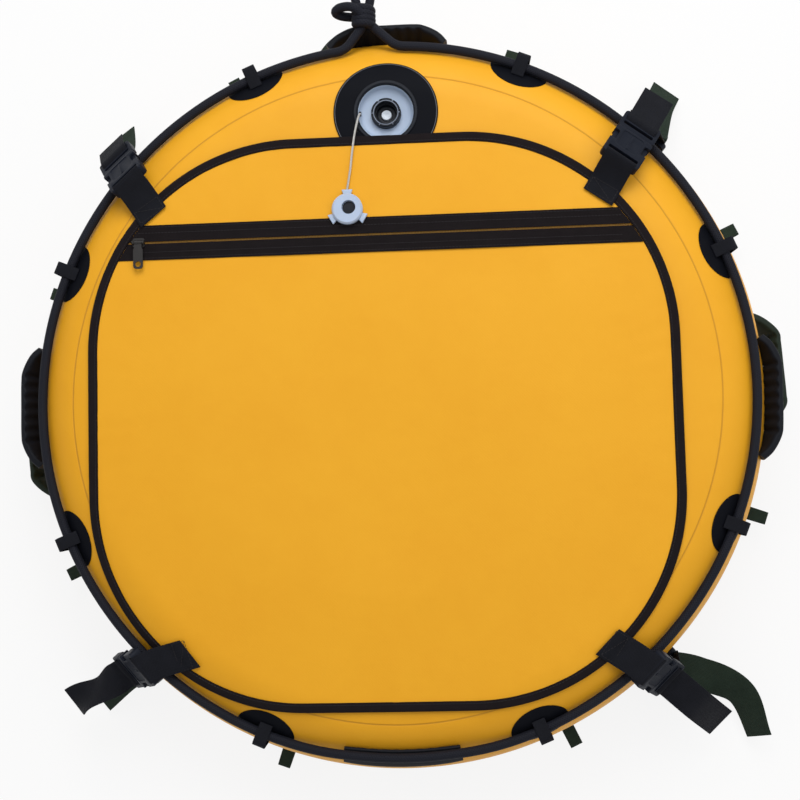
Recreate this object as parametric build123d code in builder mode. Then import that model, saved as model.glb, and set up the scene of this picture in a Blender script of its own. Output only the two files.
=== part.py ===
"""Inflatable dive training buoy: a round drop-stitch ring lying on its rear face, gear cover upwards.

Millimetres. +Z is out of the gear cover, +Y points to the inflation valve, and the origin is
on the underside, at the middle of the rear panel.
"""

import os
from math import cos, radians, sin, tan

from build123d import *

os.makedirs("parts", exist_ok=True)

# Ring
RING_RADIUS = 400.0
RING_THICK = 150.0
HOLE_RADIUS = 205.0
HOLE_BULGE = 18.0
BAND_THICK = 0.5
BAND_PHI_DEG = 74.5
REAR_STACK = 4.0

# Layers on the skin: a soft seat is the gap between one layer and the next
SEAT = 0.3
VALVE_PATCH_THICK = 0.6
PANEL_THICK = 1.3
TAPE_THICK = 0.9
BINDING_OVER = 1.6
RIM_PATCH_THICK = 1.0
WEB_THICK = 1.2

# Gear cover, whose middle lies off the ring's axis to leave room for the valve
COVER_MARGIN = (85.0, 95.0)
COVER_CORNER = 225.0
COVER_SHIFT = (-12.0, -26.0)
BINDING_WIDTH = 10.5
BINDING_WALL = 0.9
SLOT_CLEAR = 0.1

# Zip: its middle hangs a drop below the cover's top edge, and the slider rests an inset from its left edge
ZIP_DROP = 107.5
ZIP_HEIGHT = 38.0
ZIP_SLIT = 2.5
ZIP_COIL_WIDTH = 6.0
ZIP_COIL_HEIGHT = 1.0
ZIP_PANEL_GAP = 8.0
SLIDER_LENGTH = 13.0
SLIDER_WIDTH = 10.0
SLIDER_PLATE = 1.8
SLIDER_INSET = 57.0
BRIDGE_DIAMETER = 2.0
BRIDGE_POST = 2.2
PULL_WIDTH = 10.5
PULL_LENGTH = 29.0
PULL_THICK = 1.5
PULL_RING = 6.0
EYE_WALL = 1.0
EYE_CLEAR = 0.3

# Rear panel
REAR_MARGIN = 150.0
REAR_CORNER = 150.0
REAR_PANEL_THICK = 2.0
REAR_BINDING_WIDTH = 10.0

# Inflation valve
VALVE_INSET = 95.0
CUP_DIAMETER = 61.0
CUP_DEPTH = 18.0
CUP_WALL = 2.0
FLANGE_LIP = 2.0
FLANGE_THICK = 1.6
VALVE_PATCH_BORDER = 22.0
HUB_DIAMETER = 32.0
HUB_BORE = 25.6
HUB_SEAT_BORE = 22.0
HUB_SEAT_HEIGHT = 7.0
HUB_HEIGHT = 16.0
HUB_TEETH = 6
HUB_TOOTH = 3.0
BUTTON_DIAMETER = 11.4
BUTTON_HEIGHT = 5.0
LUG_SIZE = 4.0

# Valve cap on its tether: (x, y above the zip), and (x, y below the valve, z above the front face)
CAP_PLACE = (-43.0, 27.5)
TETHER_BENDS = ((-33.0, 22.0, 8.6), (-36.5, 43.0, 7.8), (-39.0, 64.0, 6.0))
CAP_DIAMETER = 33.0
CAP_HEIGHT = 7.0
CAP_HOLE = 15.0
CAP_HOLE_SHIFT = (1.5, 1.5)
CAP_HOLE_DEPTH = 5.0
EAR_TIP = 21.5
EAR_WIDTH = 12.0
EAR_THICK = 3.2
EAR_FLARE_DEG = 105.0
TETHER_DIAMETER = 2.3

# Rim rope, its knot and the loops and patches that hold it
ROPE_DIAMETER = 10.0
ROPE_PHI_DEG = 45.0
ROPE_GAP_DEG = (81.0, 101.0)
KNOT_X = -23.0
KNOT_OUT = 17.0
KNOT_TURNS = 3
KNOT_RADIUS = 11.5
KNOT_WAIST = 8.5
KNOT_ENTRY = 4.0
KNOT_PITCH = 8.0
KNOT_TAIL = 24.0
KNOT_SPLAY_DEG = 16.0
LOOP_COUNT = 8
LOOP_WIDTH = 14.0
FRONT_START_DEG = 22.5
REAR_TURN_DEG = 3.3
PATCH_LENGTH = 68.0
FRONT_PATCH_DEG = 45.0
FRONT_PATCH_DEPTH = 48.0
REAR_PATCH_DEG = -38.0
REAR_PATCH_DEPTH = 56.0
FRONT_LOOP_DEG = (56.0, 26.0, 40.3)
FRONT_LOOP_OUT = 28.6
FRONT_LOOP_BEND = 5.0
REAR_LOOP_DEG = (-30.0, -60.0, -24.57)
REAR_LOOP_OUT = 40.45
REAR_LOOP_BEND = 3.5

# Carry handles: (height above the ring's middle, reach of the outer face beyond the ring); the bottom pair is
# pressed flat against the wall
HANDLE_LENGTH = 130.0
HANDLE_WIDTH = 28.0
HANDLE_THICK = 10.0
HANDLE_RISE = 20.0
HANDLE_BEND = 14.0
FRONT_HANDLE = (31.0, 14.0)
REAR_HANDLE = (-35.0, 34.0)
FRONT_PRESSED = (38.0, -6.0)
REAR_PRESSED = (-35.0, 8.0)
RIDGES = 7
RIDGE_PITCH = 12.0
RIDGE_WIDTH = 6.0
RIDGE_DEPTH = 2.5

# Corner straps and side-release buckles
STRAP_WIDTH = 36.0
BUCKLE_WIDTH = 44.0
BUCKLE_LENGTH = 65.0
BUCKLE_THICK = 11.5
SOCKET_LENGTH = 40.0
PLUG_THICK = 8.0
SHELL_WALL = 2.5
SLOT_LENGTH = 4.0
SOCKET_BAR = 14.0
NOTCH = (20.0, 33.0)
NOTCH_DEPTH = 6.5
PRONG_WIDTH = 5.0
CATCH_TAPER_DEG = 75.0
BUCKLE_CLEAR = 0.5
ANCHOR_LENGTH = 51.0
REAR_BUCKLE_PHI_DEG = -30.0

SIDE_R = RING_THICK / 2
FLAT_R = RING_RADIUS - SIDE_R
BOTTOM = REAR_STACK
MID = BOTTOM + SIDE_R
TOP = BOTTOM + RING_THICK

COVER_WIDTH = 2 * (RING_RADIUS - COVER_MARGIN[0])
COVER_HEIGHT = 2 * (RING_RADIUS - COVER_MARGIN[1])
ZIP_Y = COVER_SHIFT[1] + COVER_HEIGHT / 2 - ZIP_DROP
SLIDER_REST_X = COVER_SHIFT[0] - COVER_WIDTH / 2 + SLIDER_INSET
REAR_WIDTH = 2 * (RING_RADIUS - REAR_MARGIN)
VALVE_Y = RING_RADIUS - VALVE_INSET
VALVE_BODY_DIAMETER = CUP_DIAMETER + 2 * CUP_WALL
FLANGE_DIAMETER = VALVE_BODY_DIAMETER + 2 * FLANGE_LIP
VALVE_PATCH_DIAMETER = FLANGE_DIAMETER + 2 * VALVE_PATCH_BORDER
CAP_CENTRE = (CAP_PLACE[0], ZIP_Y + CAP_PLACE[1])
KNOT_CENTRE = (KNOT_X, RING_RADIUS + KNOT_OUT)

SKIN = BAND_THICK + SEAT
VALVE_PATCH_TOP = SKIN + VALVE_PATCH_THICK
PANEL_LOW = VALVE_PATCH_TOP + SEAT
PANEL_TOP = PANEL_LOW + PANEL_THICK
TAPE_LOW = PANEL_TOP + SLOT_CLEAR
TAPE_TOP = TAPE_LOW + TAPE_THICK
BINDING_TOP = PANEL_TOP + BINDING_OVER
RIM_PATCH_TOP = SKIN + RIM_PATCH_THICK
ROPE_LOW = RIM_PATCH_TOP + SEAT
ROPE_OFFSET = ROPE_LOW + ROPE_DIAMETER / 2


def on_skin(phi, height):
    """Point (radius, z) that lies a height off the side wall, at an angle above its middle."""
    reach = SIDE_R + height
    return FLAT_R + reach * cos(radians(phi)), MID + reach * sin(radians(phi))


def meridian(angle):
    """Upright plane through the ring's axis, whose local x is the radius and local y is the height."""
    a = radians(angle)
    return Plane(origin=(0, 0, 0), x_dir=(cos(a), sin(a), 0), z_dir=(sin(a), -cos(a), 0))


def save(part, name):
    """Labels a finished piece and writes it."""
    part.label = name
    export_step(part, f"parts/{name}.step")


def face_layer(low, high, phi):
    """Layer over the front face and down over the shoulder as far as an angle, between two heights."""
    with BuildPart() as layer:
        with BuildSketch(Plane.XZ):
            with BuildLine():
                Polyline((FLAT_R, TOP + low), (0, TOP + low), (0, TOP + high), (FLAT_R, TOP + high))
                CenterArc((FLAT_R, MID), SIDE_R + high, 90, phi - 90)
                Line(on_skin(phi, high), on_skin(phi, low))
                CenterArc((FLAT_R, MID), SIDE_R + low, phi, 90 - phi)
            make_face()
        revolve(axis=Axis.Z)
    return layer.part


def ring_envelope(height):
    """Solid filling the ring, its hole and a height all round, which trims the feet that stand on it."""
    with BuildPart() as envelope:
        with BuildSketch(Plane.XZ):
            with BuildLine():
                CenterArc((FLAT_R, MID), SIDE_R + height, -90, 180)
                Polyline(
                    (FLAT_R, TOP + height),
                    (0, TOP + height),
                    (0, BOTTOM - height),
                    (FLAT_R, BOTTOM - height),
                )
            make_face()
        revolve(axis=Axis.Z)
    return envelope.part


def webbing(plane, points, bend, width):
    """Strip of webbing that follows points in a plane."""
    with BuildPart() as strip:
        with BuildSketch(plane):
            with BuildLine():
                if len(points) > 2:
                    FilletPolyline(*points, radius=bend)
                else:
                    Polyline(*points)
            trace(line_width=WEB_THICK)
        extrude(amount=width / 2, both=True)
    return strip.part


# Air ring: flat drop-stitch faces, half-round side wall with its seam band, and the gear hole
with BuildPart() as air_ring:
    with BuildSketch(Plane.XZ):
        with BuildLine():
            Line((HOLE_RADIUS, BOTTOM), (FLAT_R, BOTTOM))
            CenterArc((FLAT_R, MID), SIDE_R, -90, 90 - BAND_PHI_DEG)
            Line(on_skin(-BAND_PHI_DEG, 0), on_skin(-BAND_PHI_DEG, BAND_THICK))
            CenterArc((FLAT_R, MID), SIDE_R + BAND_THICK, -BAND_PHI_DEG, 2 * BAND_PHI_DEG)
            Line(on_skin(BAND_PHI_DEG, BAND_THICK), on_skin(BAND_PHI_DEG, 0))
            CenterArc((FLAT_R, MID), SIDE_R, BAND_PHI_DEG, 90 - BAND_PHI_DEG)
            Line((FLAT_R, TOP), (HOLE_RADIUS, TOP))
            ThreePointArc((HOLE_RADIUS, TOP), (HOLE_RADIUS - HOLE_BULGE, MID), (HOLE_RADIUS, BOTTOM))
        make_face()
    revolve(axis=Axis.Z)
    VALVE_FLOOR = TOP + VALVE_PATCH_TOP + SLOT_CLEAR - CUP_DEPTH
    with Locations((0, VALVE_Y, VALVE_FLOOR - CUP_WALL - SEAT)):
        Cylinder(
            VALVE_BODY_DIAMETER / 2 + SEAT,
            2 * CUP_DEPTH,
            align=(Align.CENTER, Align.CENTER, Align.MIN),
            mode=Mode.SUBTRACT,
        )
save(air_ring.part, "air_ring")


# Gear cover: two panels split at the zip, with a binding folded over their edge
COVER_PHI_DEG = 45.0


def cover_outline(inset):
    """Rounded square of the cover, drawn in by an inset."""
    with BuildSketch(Plane.XY) as outline:
        with Locations(COVER_SHIFT):
            RectangleRounded(COVER_WIDTH - 2 * inset, COVER_HEIGHT - 2 * inset, COVER_CORNER - inset)
    return outline.sketch


def inside_cover(low, high, inset):
    """Layer of the front face within the cover's outline."""
    with BuildPart() as layer:
        add(face_layer(low, high, COVER_PHI_DEG))
        extrude(cover_outline(inset), amount=2 * TOP, mode=Mode.INTERSECT)
    return layer.part


FLANGE_LOW = TOP + VALVE_PATCH_TOP + SLOT_CLEAR
FLANGE_TOP = FLANGE_LOW + FLANGE_THICK
FLANGE_CLEAR = 0.2
panel = inside_cover(PANEL_LOW, PANEL_TOP, BINDING_WALL + SLOT_CLEAR)
for panel_name, side in (("cover_upper", 1), ("cover_lower", -1)):
    with BuildPart() as cover_panel:
        add(panel)
        with Locations((0, ZIP_Y + side * (ZIP_PANEL_GAP / 2 + RING_RADIUS), TOP)):
            Box(3 * RING_RADIUS, 2 * RING_RADIUS, RING_THICK, mode=Mode.INTERSECT)
        with Locations((0, VALVE_Y, TOP)):
            Cylinder(FLANGE_DIAMETER / 2 + FLANGE_CLEAR, RING_THICK / 2, mode=Mode.SUBTRACT)
    save(cover_panel.part, panel_name)

with BuildPart() as cover_binding:
    add(inside_cover(SKIN, BINDING_TOP, 0))
    extrude(cover_outline(BINDING_WIDTH), amount=2 * TOP, mode=Mode.SUBTRACT)
    add(inside_cover(0, PANEL_TOP + SLOT_CLEAR, BINDING_WALL), mode=Mode.SUBTRACT)
    with Locations((0, VALVE_Y, FLANGE_TOP + FLANGE_CLEAR)):
        Cylinder(
            FLANGE_DIAMETER / 2 + FLANGE_CLEAR,
            CUP_DEPTH,
            align=(Align.CENTER, Align.CENTER, Align.MAX),
            mode=Mode.SUBTRACT,
        )
    with Locations((0, VALVE_Y, TOP + VALVE_PATCH_TOP + SLOT_CLEAR)):
        Cylinder(
            VALVE_PATCH_DIAMETER / 2 + FLANGE_CLEAR,
            CUP_DEPTH,
            align=(Align.CENTER, Align.CENTER, Align.MAX),
            mode=Mode.SUBTRACT,
        )
save(cover_binding.part, "cover_binding")


# Zip: two tapes whose edges meet over the coil
tape_layer = inside_cover(TAPE_LOW, TAPE_TOP, BINDING_WIDTH + SLOT_CLEAR)
TAPE_WIDTH = (ZIP_HEIGHT - ZIP_SLIT) / 2
for tape_name, side in (("zip_tape_upper", 1), ("zip_tape_lower", -1)):
    with BuildPart() as zip_tape:
        add(tape_layer)
        with Locations((0, ZIP_Y + side * (ZIP_SLIT + TAPE_WIDTH) / 2, TOP)):
            Box(3 * RING_RADIUS, TAPE_WIDTH, RING_THICK, mode=Mode.INTERSECT)
    save(zip_tape.part, tape_name)

with BuildPart() as zip_coil:
    coil_top = TAPE_LOW - SLOT_CLEAR
    add(inside_cover(coil_top - ZIP_COIL_HEIGHT, coil_top, BINDING_WIDTH + SLOT_CLEAR))
    with Locations((0, ZIP_Y, TOP)):
        Box(3 * RING_RADIUS, ZIP_COIL_WIDTH, RING_THICK, mode=Mode.INTERSECT)
save(zip_coil.part, "zip_coil")

# Slider: plate with two posts and the bar that the pull turns on
PLATE_LOW = TOP + TAPE_TOP + SEAT
PLATE_TOP = PLATE_LOW + SLIDER_PLATE
EYE_RADIUS = BRIDGE_DIAMETER / 2 + EYE_CLEAR + EYE_WALL
BRIDGE_Z = PLATE_TOP + EYE_RADIUS + EYE_CLEAR
EYE_WIDTH = SLIDER_LENGTH - 2 * BRIDGE_POST - 2 * EYE_CLEAR
KEEL_WIDTH = ZIP_SLIT - 2 * EYE_CLEAR
with BuildPart() as zip_slider:
    with BuildSketch(Plane.XY.offset(PLATE_LOW)):
        with Locations((SLIDER_REST_X, ZIP_Y)):
            RectangleRounded(SLIDER_LENGTH, SLIDER_WIDTH, SLIDER_WIDTH / 4)
    extrude(amount=SLIDER_PLATE)
    with BuildSketch(Plane.YZ.offset(SLIDER_REST_X - SLIDER_LENGTH / 2)):
        with Locations((ZIP_Y, BRIDGE_Z)):
            Circle(BRIDGE_DIAMETER)
        with Locations((ZIP_Y, (PLATE_LOW + BRIDGE_Z) / 2)):
            Rectangle(2 * BRIDGE_DIAMETER, BRIDGE_Z - PLATE_LOW)
    extrude(amount=SLIDER_LENGTH)
    with Locations((SLIDER_REST_X, ZIP_Y, PLATE_TOP)):
        Box(
            SLIDER_LENGTH - 2 * BRIDGE_POST,
            SLIDER_WIDTH,
            RING_THICK / 2,
            align=(Align.CENTER, Align.CENTER, Align.MIN),
            mode=Mode.SUBTRACT,
        )
    with BuildSketch(Plane.YZ.offset(SLIDER_REST_X - SLIDER_LENGTH / 2)):
        with Locations((ZIP_Y, BRIDGE_Z)):
            Circle(BRIDGE_DIAMETER / 2)
    extrude(amount=SLIDER_LENGTH)
    with Locations((SLIDER_REST_X, ZIP_Y, PLATE_LOW)):
        Box(
            SLIDER_LENGTH - BRIDGE_POST,
            KEEL_WIDTH,
            SEAT + TAPE_THICK / 2,
            align=(Align.CENTER, Align.CENTER, Align.MAX),
        )
save(zip_slider.part, "zip_slider")

# Pull: an eye round the bar, a flat tab and a ring at its end
PULL_END_Y = ZIP_Y - PULL_LENGTH
with BuildPart() as zip_pull:
    with BuildSketch(Plane.YZ.offset(SLIDER_REST_X - EYE_WIDTH / 2)):
        with Locations((ZIP_Y, BRIDGE_Z)):
            Circle(EYE_RADIUS)
    extrude(amount=EYE_WIDTH)
    with BuildSketch(Plane.XY.offset(BRIDGE_Z - PULL_THICK / 2)):
        with Locations((SLIDER_REST_X, ZIP_Y - SLIDER_WIDTH / 2)):
            Rectangle(EYE_WIDTH, SLIDER_WIDTH)
        with Locations((SLIDER_REST_X, (PULL_END_Y + ZIP_Y - SLIDER_WIDTH / 2 - SEAT) / 2)):
            RectangleRounded(PULL_WIDTH, PULL_LENGTH - SLIDER_WIDTH / 2 - SEAT, PULL_WIDTH / 3)
        with Locations((SLIDER_REST_X, PULL_END_Y + PULL_WIDTH / 2)):
            Circle(PULL_RING / 2, mode=Mode.SUBTRACT)
    extrude(amount=PULL_THICK)
    with BuildSketch(Plane.YZ.offset(SLIDER_REST_X - EYE_WIDTH / 2)):
        with Locations((ZIP_Y, BRIDGE_Z)):
            Circle(BRIDGE_DIAMETER / 2 + EYE_CLEAR)
    extrude(amount=EYE_WIDTH, mode=Mode.SUBTRACT)
save(zip_pull.part, "zip_pull")


# Rear panel that the buoy lies on, with its binding
with BuildPart() as rear_panel:
    with BuildSketch(Plane.XY):
        RectangleRounded(REAR_WIDTH, REAR_WIDTH, REAR_CORNER)
    extrude(amount=REAR_PANEL_THICK)
save(rear_panel.part, "rear_panel")

REAR_OUTER = REAR_WIDTH + 2 * REAR_BINDING_WIDTH
with BuildPart() as rear_binding:
    with BuildSketch(Plane.XY):
        RectangleRounded(REAR_OUTER, REAR_OUTER, REAR_CORNER + REAR_BINDING_WIDTH)
        REAR_INNER = REAR_WIDTH + 2 * SLOT_CLEAR
        RectangleRounded(REAR_INNER, REAR_INNER, REAR_CORNER + SLOT_CLEAR, mode=Mode.SUBTRACT)
    extrude(amount=REAR_STACK - SEAT)
save(rear_binding.part, "rear_binding")


# Inflation valve: patch, cup with its flange, castellated hub and push button
with BuildPart() as valve_patch:
    add(face_layer(SKIN, VALVE_PATCH_TOP, COVER_PHI_DEG))
    with Locations((0, VALVE_Y, TOP)):
        Cylinder(VALVE_PATCH_DIAMETER / 2, RING_THICK, mode=Mode.INTERSECT)
        Cylinder(VALVE_BODY_DIAMETER / 2 + SEAT, RING_THICK, mode=Mode.SUBTRACT)
save(valve_patch.part, "valve_patch")

LUG_X = -(CUP_DIAMETER - LUG_SIZE) / 2
LUG_TOP = FLANGE_TOP - LUG_SIZE
with BuildPart() as valve_cup:
    with BuildSketch(Plane.XZ):
        with BuildLine():
            Polyline(
                (0, VALVE_FLOOR - CUP_WALL),
                (VALVE_BODY_DIAMETER / 2, VALVE_FLOOR - CUP_WALL),
                (VALVE_BODY_DIAMETER / 2, FLANGE_LOW),
                (FLANGE_DIAMETER / 2, FLANGE_LOW),
                (FLANGE_DIAMETER / 2, FLANGE_TOP),
                (CUP_DIAMETER / 2, FLANGE_TOP),
                (CUP_DIAMETER / 2, VALVE_FLOOR),
                (0, VALVE_FLOOR),
                close=True,
            )
        make_face()
    revolve(axis=Axis.Z)
    with Locations((LUG_X, 0, LUG_TOP)):
        Box(LUG_SIZE, LUG_SIZE, LUG_SIZE, align=(Align.CENTER, Align.CENTER, Align.MAX))
save(valve_cup.part.moved(Location((0, VALVE_Y, 0))), "valve_cup")

HUB_TOP = VALVE_FLOOR + HUB_HEIGHT
with BuildPart() as valve_hub:
    with Locations((0, VALVE_Y, VALVE_FLOOR)):
        Cylinder(HUB_DIAMETER / 2, HUB_HEIGHT, align=(Align.CENTER, Align.CENTER, Align.MIN))
        Cylinder(
            HUB_SEAT_BORE / 2, HUB_HEIGHT, align=(Align.CENTER, Align.CENTER, Align.MIN), mode=Mode.SUBTRACT
        )
    with Locations((0, VALVE_Y, VALVE_FLOOR + HUB_SEAT_HEIGHT)):
        Cylinder(
            HUB_BORE / 2, HUB_HEIGHT, align=(Align.CENTER, Align.CENTER, Align.MIN), mode=Mode.SUBTRACT
        )
    with Locations((0, VALVE_Y, HUB_TOP)):
        with PolarLocations(HUB_DIAMETER / 2, HUB_TEETH):
            Box(2 * (HUB_DIAMETER - HUB_BORE), HUB_TOOTH, 2 * HUB_TOOTH, mode=Mode.SUBTRACT)
save(valve_hub.part, "valve_hub")

with BuildPart() as valve_button:
    with Locations((0, VALVE_Y, VALVE_FLOOR)):
        Cylinder(BUTTON_DIAMETER / 2, BUTTON_HEIGHT, align=(Align.CENTER, Align.CENTER, Align.MIN))
    chamfer(valve_button.edges().sort_by(Axis.Z)[-1], BUTTON_DIAMETER / 12)
save(valve_button.part, "valve_button")


# Valve cap: disc with an off-centre socket and three fishtail ears, laid on the cover above the zip
CAP_LOW = TOP + TAPE_TOP + SEAT
with BuildPart() as valve_cap:
    with BuildSketch(Plane.XY.offset(CAP_LOW)):
        with Locations(CAP_CENTRE):
            Circle(CAP_DIAMETER / 2)
    extrude(amount=CAP_HEIGHT)
    with BuildSketch(Plane.XY.offset(CAP_LOW)):
        with Locations(CAP_CENTRE):
            with PolarLocations(EAR_TIP / 2, 3, start_angle=90):
                Trapezoid(EAR_WIDTH, EAR_TIP, EAR_FLARE_DEG, rotation=90)
    extrude(amount=EAR_THICK)
    with BuildSketch(Plane.XY.offset(CAP_LOW + CAP_HEIGHT - CAP_HOLE_DEPTH)):
        with Locations((CAP_CENTRE[0] + CAP_HOLE_SHIFT[0], CAP_CENTRE[1] + CAP_HOLE_SHIFT[1])):
            Circle(CAP_HOLE / 2)
    extrude(amount=CAP_HEIGHT, mode=Mode.SUBTRACT)
save(valve_cap.part, "valve_cap")

# Cap tether: from the lug in the cup, over the binding and down the cover to the cap's upper ear
TETHER_ROUTE = (
    (LUG_X + 0.4, VALVE_Y - 0.6, LUG_TOP + 2 * SEAT),
    (LUG_X - 0.2, VALVE_Y - 4.5, LUG_TOP + 10.0),
    *((x, VALVE_Y - drop, TOP + height) for x, drop, height in TETHER_BENDS),
    (CAP_CENTRE[0], CAP_CENTRE[1] + EAR_TIP + SLOT_CLEAR, CAP_LOW + EAR_THICK / 2),
)


def cord_radii(points):
    """Largest even bend at each corner of a cord's route."""
    radii = []
    for before, corner, after in zip(points, points[1:], points[2:]):
        run_in, run_out = Vector(corner) - Vector(before), Vector(after) - Vector(corner)
        half_turn = radians(run_in.get_angle(run_out)) / 2
        radii.append(0.45 * min(run_in.length, run_out.length) / tan(half_turn))
    return radii


tether_radii = cord_radii(TETHER_ROUTE)
print("cap_tether radii", [round(radius, 1) for radius in tether_radii])
with BuildPart() as cap_tether:
    with BuildLine() as tether_line:
        FilletPolyline(*TETHER_ROUTE, radius=tether_radii)
    with BuildSketch(Plane(origin=tether_line.line @ 0, z_dir=tether_line.line % 0)):
        Circle(TETHER_DIAMETER / 2)
    sweep()
print("cap_tether length", round(tether_line.wire().length, 1), "volume", round(cap_tether.part.volume, 1))
save(cap_tether.part, "cap_tether")


# Rim rope: round the front shoulder, its two ends rising to the knot at the top
ROPE_R, ROPE_Z = on_skin(ROPE_PHI_DEG, ROPE_OFFSET)
LEG_BEND = 60.0
LEG_TURN_DEG = (17.0, 31.0)
with BuildPart() as rim_rope:
    with BuildLine() as rope_line:
        rim = CenterArc((0, 0, ROPE_Z), ROPE_R, ROPE_GAP_DEG[1], 360 - ROPE_GAP_DEG[1] + ROPE_GAP_DEG[0])
        right_bend = JernArc(rim @ 1, rim % 1, LEG_BEND, -LEG_TURN_DEG[0])
        right_run = (right_bend @ 1).X - KNOT_CENTRE[0] - KNOT_ENTRY
        Line(right_bend @ 1, right_bend @ 1 + (right_bend % 1) * (right_run / -(right_bend % 1).X))
        left_bend = JernArc(rim @ 0, (rim % 0) * -1, LEG_BEND, LEG_TURN_DEG[1])
        left_run = KNOT_CENTRE[0] - (left_bend @ 1).X - KNOT_ENTRY
        Line(left_bend @ 1, left_bend @ 1 + (left_bend % 1) * (left_run / (left_bend % 1).X))
    with BuildSketch(Plane(origin=rim @ 0.5, z_dir=rim % 0.5)):
        Circle(ROPE_DIAMETER / 2)
    sweep()
    knot_half = KNOT_TURNS * KNOT_PITCH / 2
    knot_plane = Plane((*KNOT_CENTRE, ROPE_Z))
    with BuildSketch(knot_plane):
        with BuildLine():
            Polyline((KNOT_WAIST, knot_half), (0, knot_half), (0, -knot_half), (KNOT_WAIST, -knot_half))
            for turn in range(KNOT_TURNS):
                low = KNOT_PITCH * turn - knot_half
                crest = (KNOT_RADIUS, low + KNOT_PITCH / 2)
                ThreePointArc((KNOT_WAIST, low), crest, (KNOT_WAIST, low + KNOT_PITCH))
        make_face()
    revolve(axis=Axis(knot_plane.origin, (0, 1, 0)))
    for splay in (KNOT_SPLAY_DEG, -KNOT_SPLAY_DEG):
        with Locations(Location(knot_plane.origin, (-90, 0, splay))):
            Cylinder(ROPE_DIAMETER / 2, KNOT_TAIL, align=(Align.CENTER, Align.CENTER, Align.MIN))
save(rim_rope.part, "rim_rope")


# Rim patches and the webbing loops sewn to them, eight to a row
def rim_patch(phi, depth):
    """Oval patch bent over the side wall."""
    point = on_skin(phi, 0)
    half_turn = PATCH_LENGTH / RING_RADIUS / radians(1)
    with BuildPart() as patch:
        with BuildSketch(meridian(-half_turn)):
            with BuildLine():
                CenterArc((FLAT_R, MID), SIDE_R + RIM_PATCH_TOP, phi - depth, 2 * depth)
                Line(on_skin(phi + depth, RIM_PATCH_TOP), on_skin(phi + depth, SKIN))
                CenterArc((FLAT_R, MID), SIDE_R + SKIN, phi + depth, -2 * depth)
                Line(on_skin(phi - depth, SKIN), on_skin(phi - depth, RIM_PATCH_TOP))
            make_face()
        revolve(axis=Axis.Z, revolution_arc=2 * half_turn)
        normal = (cos(radians(phi)), 0, sin(radians(phi)))
        with BuildSketch(Plane(origin=(point[0], 0, point[1]), x_dir=(0, 1, 0), z_dir=normal)):
            Ellipse(PATCH_LENGTH / 2, depth / 2)
        extrude(amount=SIDE_R / 2, both=True, mode=Mode.INTERSECT)
    return patch.part


def rope_loop(angles, out, bend):
    """Webbing loop from two feet on the patch out to its tip; the angles are the feet's and the tip's."""
    upper, lower, tip = angles
    points = (on_skin(upper, 0), on_skin(tip, out), on_skin(lower, 0))
    with BuildPart() as loop:
        add(webbing(meridian(0), points, bend, LOOP_WIDTH))
        add(ring_envelope(RIM_PATCH_TOP + SLOT_CLEAR), mode=Mode.SUBTRACT)
    return loop.part


FRONT_TABS = (
    (FRONT_PATCH_DEG, FRONT_PATCH_DEPTH),
    (FRONT_LOOP_DEG, FRONT_LOOP_OUT, FRONT_LOOP_BEND),
)
REAR_TABS = (
    (REAR_PATCH_DEG, REAR_PATCH_DEPTH),
    (REAR_LOOP_DEG, REAR_LOOP_OUT, REAR_LOOP_BEND),
)
for row, start, (patch_form, loop_form) in (
    ("front", FRONT_START_DEG, FRONT_TABS),
    ("rear", FRONT_START_DEG + REAR_TURN_DEG, REAR_TABS),
):
    with BuildPart() as patches:
        with PolarLocations(0, LOOP_COUNT, start_angle=start):
            add(rim_patch(*patch_form))
    save(patches.part, f"{row}_patches")
    with BuildPart() as loops:
        with PolarLocations(0, LOOP_COUNT, start_angle=start):
            add(rope_loop(*loop_form))
    save(loops.part, f"{row}_loops")


# Carry handles: moulded arches with finger ridges inside, four to a row
def handle(above, beyond):
    """Handle at angle zero, its feet trimmed to the side wall."""
    height, reach = MID + above, RING_RADIUS + beyond
    middle, half = reach - HANDLE_THICK / 2, HANDLE_LENGTH / 2
    with BuildPart() as arch:
        with BuildSketch(Plane.XY.offset(height - HANDLE_WIDTH / 2)):
            with BuildLine():
                FilletPolyline(
                    (FLAT_R + SIDE_R / 2, -half),
                    (middle, -half + HANDLE_RISE),
                    (middle, half - HANDLE_RISE),
                    (FLAT_R + SIDE_R / 2, half),
                    radius=HANDLE_BEND,
                )
            trace(line_width=HANDLE_THICK)
        extrude(amount=HANDLE_WIDTH)
        with Locations((reach - HANDLE_THICK, 0, height)):
            with GridLocations(0, RIDGE_PITCH, 1, RIDGES):
                Box(2 * RIDGE_DEPTH, RIDGE_WIDTH, 2 * HANDLE_WIDTH, mode=Mode.SUBTRACT)
        add(ring_envelope(SKIN), mode=Mode.SUBTRACT)
    return arch.part


HANDLE_PLACES = (("right", 0.0), ("top", 90.0), ("left", 180.0), ("bottom", 270.0))
for row, form, pressed_form, turn in (
    ("front", FRONT_HANDLE, FRONT_PRESSED, 0.0),
    ("rear", REAR_HANDLE, REAR_PRESSED, REAR_TURN_DEG),
):
    free, pressed = handle(*form), handle(*pressed_form)
    for place, angle in HANDLE_PLACES:
        with BuildPart() as placed_handle:
            with Locations(Location((0, 0, 0), (0, 0, angle + turn))):
                add(pressed if place == "bottom" else free)
        save(placed_handle.part, f"{row}_handle_{place}")


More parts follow.
